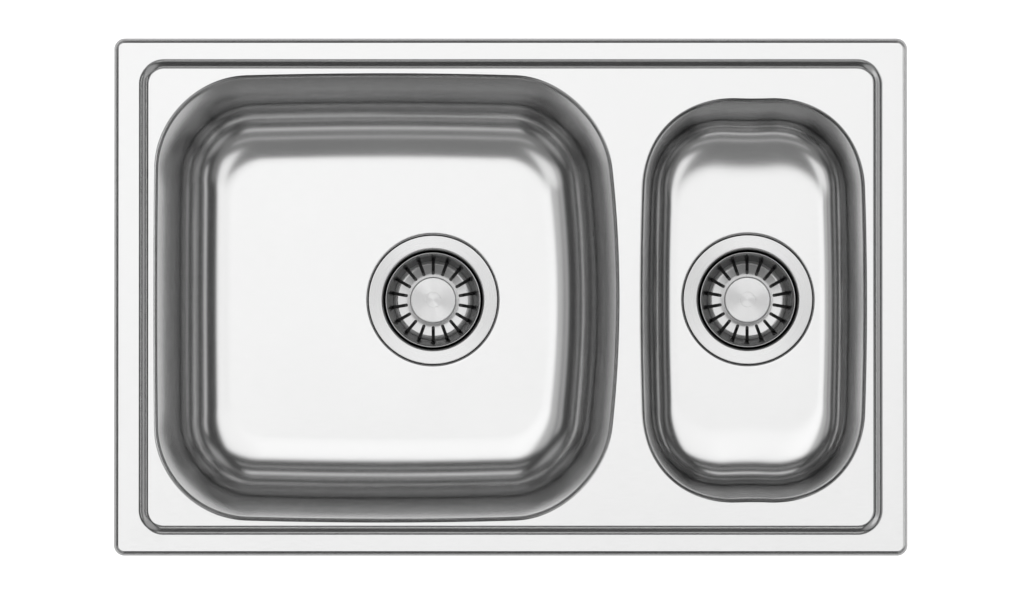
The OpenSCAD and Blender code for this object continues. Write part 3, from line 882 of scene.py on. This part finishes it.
@dataclass
class Deck:
    """The pressed deck, from its rolled edge over the ledge and the step to the two openings."""

    bowls: tuple[Bowl, Bowl]
    rim_corner: float = 9 * MM
    edge_roll: float = 0.3 * MM
    edge_slope: float = 48.0
    edge_line: float = 2.8 * MM
    edge_line_width: float = 1.15 * MM
    edge_line_slope: float = 36.0
    ledge_height: float = 4.5 * MM
    ledge_ends: float = 21 * MM
    ledge_long: float = 17.6 * MM
    step_width: float = 7.8 * MM
    step_drop: float = 4.9 * MM
    step_spare: float = 0.11
    step_corner: float = 21 * MM
    step_steps: int = 16
    support: float = 0.2 * MM
    corner_steps: int = 24
    side_steps: int = 4
    sharp: float = 15.0

    def section(self) -> Path:
        """The deck's section.

        Returns:
            Inset from the rim and height of its points, from the rolled edge to the inner deck.
        """
        roll, top, inner = self.edge_roll, self.ledge_height, self.ledge_ends
        line, end = self.edge_line, self.edge_line + self.edge_line_width
        foot = top - self.edge_line_width * math.tan(math.radians(self.edge_line_slope))
        slope = math.radians(self.edge_slope)
        roll_end = roll * (1 - math.sin(slope))
        roll_top = foot - (line - roll_end) * math.tan(slope)
        centre = (roll, roll_top - roll * math.cos(slope))
        step = swept((inner, top), (inner + self.step_width, top - self.step_drop),
                     self.step_spare, self.step_steps)
        return (
            arc(centre, roll, 180, 90 + self.edge_slope, ROLL_STEPS)
            + [(line, foot), (end, top), (end + self.support, top), (inner - self.support, top)]
            + step + [(step[-1][0] + self.support, step[-1][1])]
        )

    def outline(self, inset: float) -> Path:
        """The deck's outline.

        Args:
            inset: Distance from the rim, at the ends.

        Returns:
            The points of the closed outline.
        """
        _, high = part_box("deck")
        x, y, corner = high.x - inset, high.y - inset, self.rim_corner - inset
        if inset >= self.ledge_ends / 2:
            beyond = inset - self.ledge_ends
            y, corner = high.y - self.ledge_long - beyond, self.step_corner - beyond
        return rounded(x, y, corner, self.corner_steps, self.side_steps)

    def build(self) -> None:
        """Builds the deck's sheet."""
        bm = bmesh.new()
        section = self.section()
        inner = loft(bm, [(self.outline(inset), z) for inset, z in section])[1]
        openings = [loft(bm, [(bowl.outline(-bowl.lip), section[-1][1])])[0]
                    for bowl in self.bowls]
        bmesh.ops.triangle_fill(bm, use_beauty=True, edges=sum(openings, inner), normal=UP)
        face(bm, upwards=True)
        thicken(to_piece(bm, "deck", "sink", SINK_STEEL, sharp=self.sharp), SHEET)


@dataclass
class Turned:
    """A sub-assembly drawn about a waste's axis, with the bowl's floor at zero."""

    bowl: str
    place: Vector
    around: int = 144

    def add(self, bm: Mesh, piece: str, body: str, finish: Finish,
            sharp: float = SHARP) -> bpy.types.Object:
        """Makes a piece from a closed mesh about the axis."""
        face(bm)
        return to_piece(bm, f"{self.bowl}_{piece}", body, finish, self.place, sharp)

    def ring(self, piece: str, body: str, finish: Finish, section: Path) -> bpy.types.Object:
        """Makes a turned or moulded ring from its closed section."""
        return self.add(spun(section, self.around, closed=True), piece, body, finish)


@dataclass
class Waste(Turned):
    """The fixed pieces of a waste, from its flange down to its outlet."""

    flange_radius: float = 55.5 * MM
    flange_top: float = -FLANGE_DEPTH
    flange_dish: float = 0.22 * MM
    flange_edge: float = 0.3 * MM
    cup_radius: float = 42.7 * MM
    cup_sheet: float = 0.8 * MM
    throat: float = 2.4 * MM
    cup_bottom: float = -43 * MM
    cup_corner: float = 6 * MM
    outlets: int = 8
    outlet_radius: float = 4.2 * MM
    outlet_circle: float = 15.5 * MM
    outlet_cut: float = 4 * MM
    clamping_hole: float = 3.3 * MM
    seal_bore: float = 46.75 * MM
    seal_outside: float = 55.45 * MM
    seal_bottom: float = -3 * MM
    seal_height: float = 1 * MM
    seal_edge: float = 0.3 * MM
    gasket_height: float = 3 * MM
    chamber: float = 46 * MM
    body_wall: float = 3 * MM
    body_flange: float = 56 * MM
    body_flange_thickness: float = 5 * MM
    body_edge: float = 0.8 * MM
    body_top: float = -7 * MM
    cone_top: float = -43.8 * MM
    spigot: float = 23.9 * MM
    spigot_bore: float = 20.5 * MM
    spigot_top: float = -65.8 * MM
    spigot_collar: float = 2 * MM
    spigot_relief: float = 0.6 * MM
    spigot_end: float = -93.8 * MM
    spigot_thread: float = 1.1 * MM
    ridge_pitch: float = 3.5 * MM
    ridge_crest: float = 0.4 * MM
    ridge_foot: float = 0.3 * MM
    ridge_start: float = 4 * MM
    ridge_steps: int = 96
    boss: float = 8 * MM
    boss_end: float = -73.8 * MM
    screw_bore: float = 3.08 * MM
    ribs: int = 4
    rib_thickness: float = 3 * MM
    rib_depth: float = 8 * MM
    rib_edge: float = 0.5 * MM
    rib_root: float = 1 * MM
    socket: float = 6.98 * MM
    socket_bore: float = 5.18 * MM
    socket_top: float = -34 * MM
    socket_floor: float = 1.5 * MM
    screw_edge: float = 0.4 * MM
    screw_gap: float = 0.08 * MM
    screw_groove: float = 0.4 * MM
    screw_pitch: float = 1 * MM
    screw_end: float = -62.8 * MM
    screw_steps: int = 32
    screw_around: int = 64
    boss_around: int = 48
    outlet_sides: int = 32

    def cup(self) -> None:
        """Builds the strainer cup with its turned flange and its outlet holes."""
        under = offset(self.cup_path(dish=0.0), self.cup_sheet)
        section = self.cup_path(self.flange_dish) + under[::-1]
        piece = self.ring("strainer_cup", "sink", FLANGE_STEEL, section)
        holes = bmesh.new()
        for i in range(self.outlets):
            turn = Matrix.Rotation(math.tau * (i + 1) / self.outlets, 4, "Z")
            spot = self.place + turn @ Vector((self.outlet_circle, 0, self.cup_bottom))
            prism(holes, self.outlet_radius, self.outlet_cut, self.outlet_sides,
                  Matrix.Translation(spot))
        cut(piece, holes)

    def cup_path(self, dish: float) -> Path:
        """The cup's upper face.

        Args:
            dish: How far the flange falls from its rim to its throat.

        Returns:
            Radius and height of its points, from the rim to the clamping hole.
        """
        edge, throat, corner = self.flange_edge, self.throat, self.cup_corner
        rim, top, bottom = self.flange_radius, self.flange_top, self.cup_bottom
        mouth, wall = self.cup_radius + throat, self.cup_radius - corner
        return (
            arc((rim - edge, top - edge), edge, 0, 90, EDGE_STEPS)
            + [(rim - 3 * edge, top), (mouth + edge, top - dish)]
            + arc((mouth, top - dish - throat), throat, 90, 180, BEND_STEPS)
            + arc((wall, bottom + corner), corner, 0, -90, BEND_STEPS)
            + [(wall - MARGIN, bottom), (self.clamping_hole, bottom)]
        )

    def seals(self) -> None:
        """Builds the flange seal and the gasket under the bowl."""
        self.ring("flange_seal", "sink", RUBBER, soft_box(
            self.seal_bore, self.seal_outside, self.seal_bottom,
            self.seal_bottom + self.seal_height, self.seal_edge))
        self.ring("waste_gasket", "sink", RUBBER, soft_box(
            self.chamber, self.body_flange, self.body_top, self.body_top + self.gasket_height,
            self.body_edge))

    def waste_body(self) -> None:
        """Builds the moulded chamber with its threaded spigot and the ribbed boss inside it."""
        outer, edge = self.chamber + self.body_wall, self.body_edge
        root, flange = self.spigot - self.spigot_thread, self.body_flange - edge
        under = self.body_top - self.body_flange_thickness
        collar = self.spigot_top - self.spigot_collar
        shell = (
            [(self.chamber, self.body_top)]
            + arc((flange, self.body_top - edge), edge, 90, 0, LIP_STEPS)
            + arc((flange, under + edge), edge, 0, -90, LIP_STEPS)
            + arc((outer + 2 * edge, under - 2 * edge), 2 * edge, 90, 180, FILLET_STEPS)
            + [(outer, self.cone_top), (self.spigot, self.spigot_top), (self.spigot, collar),
               (root, collar - self.spigot_relief)]
            + arc((root - edge, self.spigot_end + edge), edge, 0, -90, LIP_STEPS)
            + [(self.spigot_bore, self.spigot_end), (self.spigot_bore, self.spigot_top),
               (self.chamber, self.cone_top)]
        )
        bm = spun(shell, self.around, closed=True)
        boss = soft_box(self.screw_bore, self.boss, self.boss_end, self.cone_top, edge)
        join(bm, spun(boss, self.boss_around, closed=True))
        join(bm, self.ridge(root))
        start = self.boss - self.rib_root
        length = (self.spigot_bore + self.spigot) / 2 - start
        spot = Matrix.Translation((start + length / 2, 0, self.boss_end + self.rib_depth / 2))
        for i in range(self.ribs):
            turn = Matrix.Rotation(math.tau * (i + 1) / self.ribs, 4, "Z")
            rib = bmesh.new()
            block(rib, (length, self.rib_thickness, self.rib_depth), turn @ spot)
            bevel(rib, list(rib.edges), self.rib_edge)
            join(bm, rib)
        self.add(bm, "waste_body", "sink", PLASTIC)

    def ridge(self, root: float) -> Mesh:
        """The pipe thread round the spigot.

        Args:
            root: Radius at the thread's root.

        Returns:
            The mesh of one closed ridge.
        """
        top = self.spigot_top - self.ridge_start
        turns = int((top - self.spigot_end - self.spigot_collar) / self.ridge_pitch) - 1
        half, foot = self.ridge_pitch / 2 - self.ridge_foot, root - self.ridge_foot
        section = [(foot, top + half), (self.spigot, top + self.ridge_crest),
                   (self.spigot, top - self.ridge_crest), (foot, top - half)]
        bm = spun(section, self.ridge_steps, True, turns, -self.ridge_pitch)
        cap(bm)
        return bm

    def clamping_screw(self) -> None:
        """Builds the screw that clamps cup and body, with the socket for the strainer's post."""
        low, high, edge = self.cup_bottom, self.socket_top, self.screw_edge
        outer, bore, floor = self.socket - edge, self.socket_bore, low + self.socket_floor
        section = (
            [(0, low), (outer, low)] + arc((outer, low + edge), edge, -90, 0, EDGE_STEPS)[1:]
            + arc((outer, high - edge), edge, 0, 90, EDGE_STEPS)
            + [(bore + edge, high), (bore, high - edge), (bore, floor), (0, floor)]
        )
        bm = spun(section, self.screw_around)
        join(bm, thread(self.screw_bore - self.screw_gap, self.screw_groove, self.screw_pitch,
                        self.screw_end, low, self.screw_steps))
        self.add(bm, "clamping_screw", "sink", ZINC)

    def build(self) -> None:
        """Builds the fixed pieces."""
        self.cup()
        self.seals()
        self.waste_body()
        self.clamping_screw()


@dataclass
class Strainer(Turned):
    """The basket that lifts out of a waste, with its knob, its post and its stopper."""

    basket_radius: float = 41.2 * MM
    basket_rim: float = 1.2 * MM
    basket_top: float = -4.5 * MM
    basket_floor: float = 29 * MM
    basket_z: float = -26 * MM
    basket_sheet: float = 0.7 * MM
    basket_corner: float = 6 * MM
    basket_slope: float = 72.0
    basket_cone: float = 7.0
    slots: int = 18
    slot_start: float = 22.3 * MM
    slot_end: float = 34.9 * MM
    slot_width: float = 2.8 * MM
    slot_drop: float = 2 * MM
    slot_round: float = 0.49
    slot_steps: int = 6
    knob_radius: float = 20.2 * MM
    knob_top: float = -14 * MM
    knob_sheet: float = 1.2 * MM
    knob_edge: float = 1.6 * MM
    knob_margin: float = 0.3 * MM
    knob_steps: int = 16
    knob_sharp: float = 8.0
    knob_inner_edge: float = 0.4 * MM
    knob_ring: float = 6.5 * MM
    ring_depth: float = 0.05 * MM
    ring_floor: float = 0.15 * MM
    ring_mouth: float = 0.4 * MM
    post_radius: float = 4.5 * MM
    post_end: float = -41.2 * MM
    post_tip: float = 1 * MM
    post_gap: float = 0.05 * MM
    post_around: int = 64
    collar: float = 8 * MM
    collar_z: float = -28.7 * MM
    collar_height: float = 2 * MM
    collar_edge: float = 0.3 * MM
    washer_z: float = -33.7 * MM
    washer_height: float = 1.4 * MM
    washer_edge: float = 0.25 * MM
    catch_z: float = -37.6 * MM
    catch_wire: float = 0.55 * MM
    catch_steps: int = 16
    bell: float = 26 * MM
    bell_over: float = -29 * MM
    bell_under: float = -32 * MM
    bell_lip: float = -42.7 * MM
    bell_wall: float = 3.5 * MM
    bell_edge: float = 1.5 * MM
    bell_gap: float = 0.08 * MM
    lip_outside: float = 1 * MM
    lip_inside: float = 0.6 * MM
    bell_ring: float = 18 * MM
    bell_ring_depth: float = 0.5 * MM
    bell_ring_floor: float = 0.4 * MM
    bell_ring_mouth: float = 1 * MM

    def strainer(self) -> str:
        """The body that lifts out and turns."""
        return f"{self.bowl}_strainer"

    def basket(self) -> None:
        """Builds the basket with its slots."""
        roll, cone, knob = self.basket_rim / 2, math.radians(self.basket_cone), self.knob_radius
        floor = self.basket_z + (self.basket_floor - knob) * math.tan(cone)
        path = (
            arc((self.basket_radius - roll, self.basket_top - roll), roll, 0,
                90 + self.basket_slope, ROLL_STEPS)
            + arc((self.basket_floor, floor + self.basket_corner), self.basket_corner,
                  self.basket_slope - 90, self.basket_cone - 90, BEND_STEPS)
            + [(knob + MARGIN, self.basket_z + math.tan(cone) * MARGIN),
               (knob, self.basket_z), (self.post_radius, self.basket_z)]
        )
        section = path + offset(path, self.basket_sheet)[::-1]
        piece = self.ring("basket", self.strainer(), BASKET_STEEL, section)
        slots = bmesh.new()
        height = self.basket_top - self.basket_z
        size = (self.slot_end - self.slot_start, self.slot_width, height)
        spot = Matrix.Translation(((self.slot_start + self.slot_end) / 2, 0,
                                   self.basket_z + height / 2 - self.slot_drop))
        for i in range(self.slots):
            turn = Matrix.Rotation(math.radians(90) + math.tau * i / self.slots, 4, "Z")
            corners = block(slots, size, Matrix.Translation(self.place) @ turn @ spot)
            edges = dict.fromkeys(e for v in corners for e in v.link_edges if upright(e))
            bevel(slots, list(edges), self.slot_width * self.slot_round, self.slot_steps)
        cut(piece, slots)

    def knob(self) -> None:
        """Builds the knob, a brushed cap with a fine ring turned in its top."""
        radius, edge, sheet, top = self.knob_radius, self.knob_edge, self.knob_sheet, self.knob_top
        bore, under, inner = radius - sheet, top - sheet, self.knob_inner_edge
        ring = groove(self.knob_ring, top, self.ring_depth, self.ring_floor, self.ring_mouth)
        section = (
            [(0, top)] + ring + [(radius - edge - self.knob_margin, top)]
            + arc((radius - edge, top - edge), edge, 90, 0, self.knob_steps)
            + [(radius, self.basket_z), (bore, self.basket_z), (bore, under - inner),
               (bore - inner, under), (0, under)]
        )
        self.add(spun(section, self.around), "knob", self.strainer(), KNOB_STEEL, self.knob_sharp)

    def spindle(self) -> None:
        """Builds the post under the knob with its retaining washer and catch ring."""
        post, collar, edge = self.post_radius, self.collar, self.collar_edge
        over, top = self.collar_z + self.collar_height, self.knob_top - self.knob_sheet
        half, neck = self.catch_wire + self.post_gap, post - self.catch_wire
        section = (
            [(0, self.post_end), (post - self.post_tip, self.post_end),
             (post, self.post_end + self.post_tip), (post, self.catch_z - half),
             (neck, self.catch_z - half), (neck, self.catch_z + half),
             (post, self.catch_z + half), (post, self.collar_z)]
            + arc((collar - edge, self.collar_z + edge), edge, -90, 0, EDGE_STEPS)
            + arc((collar - edge, over - edge), edge, 0, 90, EDGE_STEPS)
            + [(post, over), (post, top), (0, top)]
        )
        self.add(spun(section, self.post_around), "post", self.strainer(), BASKET_STEEL)
        self.ring("retaining_washer", self.strainer(), BASKET_STEEL, soft_box(
            post + self.post_gap, collar, self.washer_z, self.washer_z + self.washer_height,
            self.washer_edge))
        bore = post + self.post_gap
        wire = shifted(circle(self.catch_wire, self.catch_steps), bore, self.catch_z)
        self.ring("catch_ring", self.strainer(), BASKET_STEEL, wire)

    def stopper(self) -> None:
        """Builds the rubber bell that closes the outlet holes."""
        over, under, lip, edge = self.bell_over, self.bell_under, self.bell_lip, self.bell_edge
        outer, inner, bore = self.bell, self.bell - self.bell_wall, self.post_radius + self.bell_gap
        outside, inside = self.lip_outside, self.lip_inside
        ring = groove(self.bell_ring, over, self.bell_ring_depth, self.bell_ring_floor,
                      self.bell_ring_mouth)
        section = (
            [(bore, over)] + ring
            + arc((outer - edge, over - edge), edge, 90, 0, FILLET_STEPS)
            + arc((outer - outside, lip + outside), outside, 0, -90, LIP_STEPS)
            + [(inner + inside, lip), (inner, lip + inside)]
            + arc((inner - edge, under - edge), edge, 0, 90, FILLET_STEPS) + [(bore, under)]
        )
        self.ring("stopper", f"{self.bowl}_stopper", RUBBER, section)

    def build(self) -> None:
        """Builds the pieces that lift out."""
        self.stopper()
        self.basket()
        self.knob()
        self.spindle()


@dataclass
class ClampScrew:
    """A fixing clamp's screw, which hangs in its bracket and carries the claw."""

    number: int
    radius: float = 2.5 * MM
    groove: float = 0.4 * MM
    pitch: float = 1 * MM
    thread_steps: int = 24
    upper_head: float = 4 * MM
    upper_round: float = 1 * MM
    upper_steps: int = 5
    upper_around: int = 48
    head_bottom: float = -7.7 * MM
    head_height: float = 2 * MM
    head_cover: float = 0.5 * MM
    end: float = -65.7 * MM
    nut_cover: float = 1 * MM
    nut_flats: float = 8 * MM
    nut_height: float = 4 * MM
    nut_edge: float = 0.5 * MM

    def place(self) -> Matrix:
        """Where the screw's axis stands.

        Returns:
            Its matrix, turned so that +X lies along the claw's arm.
        """
        axis, arm = (sum(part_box(f"clamp_{part}_{self.number}"), Vector()) / 2
                     for part in ("screw", "claw"))
        turn = math.atan2(arm.y - axis.y, arm.x - axis.x)
        return Matrix.Translation((axis.x, axis.y, 0)) @ Matrix.Rotation(turn, 4, "Z")

    def build(self) -> None:
        """Builds the screw, with its round upper head and its six-sided lower head."""
        bm = thread(self.radius, self.groove, self.pitch, self.end - self.nut_cover,
                    self.head_bottom + self.head_cover, self.thread_steps)
        face(bm)
        bend, top = self.upper_round, self.head_bottom + self.head_height
        section = [(0, self.head_bottom), (self.upper_head, self.head_bottom)]
        section += arc((self.upper_head - bend, top - bend), bend, 0, 90, self.upper_steps)
        join(bm, spun(section + [(0, top)], self.upper_around))
        nut = bmesh.new()
        prism(nut, self.nut_flats / math.sqrt(3), self.nut_height, 6,
              Matrix.Translation((0, 0, self.end - self.nut_height / 2))
              @ Matrix.Rotation(math.radians(30), 4, "Z"))
        bevel(nut, list(nut.edges), self.nut_edge)
        join(bm, nut)
        bm.transform(self.place())
        name = f"clamp_screw_{self.number}"
        to_piece(bm, name, name, ZINC)


@dataclass
class Fitting:
    """A seal, pad, bracket or claw, copied from the CAD's shape with its edges rounded."""

    node: str
    body: str
    finish: Finish
    edge: float
    steps: int = 2

    def build(self) -> None:
        """Builds the fitting."""
        to_piece(softened(self.node, self.edge, self.steps), self.node, self.body, self.finish)


FITTINGS = [
    Fitting("rim_seal", "sink", FOAM, 0.8 * MM, 3),
    Fitting("main_sound_pad", "sink", PAD, 0.6 * MM, 3),
    Fitting("half_sound_pads", "sink", PAD, 0.6 * MM, 3),
    Fitting("clamp_brackets", "sink", SINK_STEEL, 0.35 * MM),
]


# The studio

@dataclass(frozen=True)
class Softbox:
    """A lit part of the studio, by its angles from straight up across and along the sink."""

    across: tuple[float, float]
    along: tuple[float, float]
    level: float
    edge: float = 3.0


SOFTBOXES = {
    "ceiling": Softbox((-20, 31), (-6, 35), 1.38),
    "ceiling_far": Softbox((-37, -20), (-6, 35), 0.6, 5.0),
    "ceiling_left": Softbox((-20, 1), (-6, 35), 0.16, 7.0),
    "ceiling_front_left": Softbox((-38, -16), (-26, -6), 1.0),
    "ceiling_front_right": Softbox((14, 31), (-26, -6), 1.1),
    "front_fill": Softbox((-45, 45), (-55, -8), 0.2),
    "left_shoulder": Softbox((-49, -40), (-30, 30), 0.5, 2.0),
    "left_wall": Softbox((-75, -69), (-70, 75), 0.9, 2.0),
    "right_wall": Softbox((57, 63), (-35, 35), 0.95, 2.0),
    "right_low": Softbox((76, 92), (-70, 70), 1.0, 2.0),
    "back_wall": Softbox((-28, 28), (60, 68), 0.95, 2.0),
    "back_strip": Softbox((-28, 28), (47.5, 50.5), 0.6, 1.0),
    "front_wall": Softbox((-28, 28), (-62, -55), 0.8, 2.0),
    "front_strip": Softbox((-28, 28), (-42, -38), 0.45, 1.5),
    "horizon_back_right": Softbox((48, 87), (48, 87), 0.4, 7.0),
    "horizon_back_left": Softbox((-87, -48), (48, 87), 0.4, 7.0),
    "horizon_front_left": Softbox((-87, -48), (-87, -48), 0.4, 7.0),
    "horizon_front_right": Softbox((48, 87), (-87, -48), 0.4, 7.0),
}


@dataclass
class Studio:
    """A pale floor, a dim room with softboxes, weak lamps and the camera."""

    camera_height: float = 6.2
    camera_x: float = 0.0011
    camera_y: float = -0.101
    camera_near: float = 0.1
    camera_far: float = 40.0
    aim_y: float = -0.0056
    aim_z: float = 4.5 * MM
    image_width: float = 0.8618
    room: float = 0.065
    floor_radius: float = 6.0
    floor_sides: int = 96
    floor_colour: float = 0.3
    floor_seen: float = 0.9
    floor_mirrored: float = 0.45
    fill_strength: float = 1.4
    side_fills: int = 4
    side_strength: float = 1.5
    lamp_height: float = 4.0
    lamp_spread: float = 60.0

    def light(self) -> None:
        """Lights the object with softboxes overhead and along the walls of a dim room."""
        world = bpy.data.worlds.new("studio")
        world.use_nodes = True
        bpy.context.scene.world = world
        nodes = Nodes(world.node_tree)
        direction = nodes.add("ShaderNodeTexCoord").outputs["Generated"]
        parts = nodes.add("ShaderNodeSeparateXYZ", {0: direction}).outputs
        across, along = (nodes.math("MULTIPLY", nodes.math("ARCTAN2", parts[axis], parts["Z"]),
                                    180 / math.pi) for axis in "XY")
        glow = self.room
        for box in SOFTBOXES.values():
            lit = nodes.math("MULTIPLY", nodes.window(across, *box.across, box.edge),
                             nodes.window(along, *box.along, box.edge))
            glow = nodes.math("MULTIPLY_ADD", lit, box.level, glow)
        seen = nodes.add("ShaderNodeLightPath").outputs["Is Camera Ray"]
        unseen = nodes.math("SUBTRACT", 1.0, seen)
        strength = nodes.math("ADD", nodes.math("MULTIPLY", glow, unseen), seen)
        background = nodes.add("ShaderNodeBackground", {"Color": (1, 1, 1, 1),
                                                        "Strength": strength})
        nodes.add("ShaderNodeOutputWorld", {"Surface": background.outputs[0]})

    def floor(self) -> None:
        """Lays the pale floor under the object."""
        bm = bmesh.new()
        bmesh.ops.create_circle(bm, cap_ends=True, segments=self.floor_sides,
                                radius=self.floor_radius)
        bmesh.ops.translate(bm, verts=bm.verts, vec=(0, 0, CAD_BOX[0][2]))
        mesh = stored(bm, "floor")
        mesh.materials.append(self.floor_material())
        placed("floor", mesh)

    def floor_material(self) -> bpy.types.Material:
        """The floor's material, bright to the camera, dimmer in mirrors and clear from below.

        Returns:
            The new material.
        """
        material = bpy.data.materials.new("pale_floor")
        material.use_nodes = True
        nodes = Nodes(material.node_tree)
        path = nodes.add("ShaderNodeLightPath").outputs
        seen = nodes.math("MULTIPLY", path["Is Camera Ray"], self.floor_seen)
        mirrored = nodes.math("MAXIMUM", path["Is Glossy Ray"], path["Is Transmission Ray"])
        matt = nodes.add("ShaderNodeBsdfDiffuse", {"Color": (*(self.floor_colour,) * 3, 1)})
        glow = nodes.add("ShaderNodeEmission", {
            "Strength": nodes.math("MULTIPLY_ADD", mirrored, self.floor_mirrored, seen)})
        both = nodes.add("ShaderNodeAddShader", {0: matt.outputs[0], 1: glow.outputs[0]})
        under = nodes.add("ShaderNodeBsdfTransparent")
        side = nodes.add("ShaderNodeNewGeometry").outputs["Backfacing"]
        shown = nodes.add("ShaderNodeMixShader", {
            0: side, 1: both.outputs[0], 2: under.outputs[0]})
        nodes.add("ShaderNodeOutputMaterial", {"Surface": shown.outputs[0]})
        material.cycles.emission_sampling = "NONE"
        return material

    def fill(self) -> None:
        """Adds soft lights from above and from the sides that only matt surfaces answer."""
        self.lamp("fill", self.fill_strength, (0, 0, 0))
        for i in range(self.side_fills):
            around = math.tau * (i + 0.5) / self.side_fills
            self.lamp(f"side_fill_{i + 1}", self.side_strength, (math.radians(90), 0, around))

    def lamp(self, name: str, strength: float, turn: tuple[float, float, float]) -> None:
        """Adds one soft lamp that metal doesn't mirror.

        Args:
            name: Name of the lamp.
            strength: Its strength.
            turn: Its rotation, from straight down.
        """
        data = bpy.data.lights.new(name, "SUN")
        data.energy = strength
        data.angle = math.radians(self.lamp_spread)
        lamp = placed(name, data)
        lamp.visible_glossy = False
        lamp.location = (0, 0, self.lamp_height)
        lamp.rotation_euler = turn

    def camera(self) -> None:
        """Sets the camera high above the sink, looking almost straight down."""
        data = bpy.data.cameras.new("camera")
        camera = placed("camera", data)
        rim = Vector((self.camera_x, self.aim_y, self.aim_z))
        camera.location = (self.camera_x, self.camera_y, self.camera_height)
        camera.rotation_euler = (rim - camera.location).to_track_quat("-Z", "Y").to_euler()
        data.lens = data.sensor_width * (rim - camera.location).length / self.image_width
        data.clip_start = self.camera_near
        data.clip_end = self.camera_far
        bpy.context.scene.camera = camera

    def build(self) -> None:
        """Sets up the light, the floor and the camera."""
        self.light()
        self.fill()
        self.floor()
        self.camera()


def main() -> None:
    """Builds the sink, its finishes and the studio."""
    logging.basicConfig(level=logging.INFO, format="%(message)s")
    bpy.context.scene.view_settings.view_transform = "Standard"
    wastes = {bowl: top_middle(f"{bowl}_strainer_cup", FLANGE_DEPTH) for bowl in ("main", "half")}
    bowls = (
        Bowl(node="main_bowl", place=top_middle("main_bowl"), half_x=197.25 * MM,
             half_y=190.25 * MM, depth=155 * MM, corner=78 * MM, floor_corner=30 * MM,
             floor_radius=42 * MM, rim_draft=10, draft=4.5, lean=1.1, floor_lean=1.17,
             bow=(2 * MM, 17 * MM, 4.5 * MM), waste=wastes["main"]),
        Bowl(node="half_bowl", place=top_middle("half_bowl"), half_x=96.75 * MM,
             half_y=171 * MM, depth=140 * MM, corner=83 * MM, floor_corner=34 * MM,
             floor_radius=24 * MM, rim_draft=5, draft=2.5, lean=1.05, floor_lean=1.8,
             bow=(6 * MM, 6 * MM, -12.5 * MM), waste=wastes["half"]),
    )
    for bowl in bowls:
        bowl.build()
    Deck(bowls).build()
    for bowl, place in wastes.items():
        Waste(bowl, place).build()
        Strainer(bowl, place).build()
    for fitting in FITTINGS:
        fitting.build()
    for number in range(1, 9):
        claw = f"clamp_claw_{number}"
        ClampScrew(number).build()
        Fitting(claw, claw, ZINC, 0.4 * MM).build()
    Studio().build()


if __name__ == "__main__":
    main()
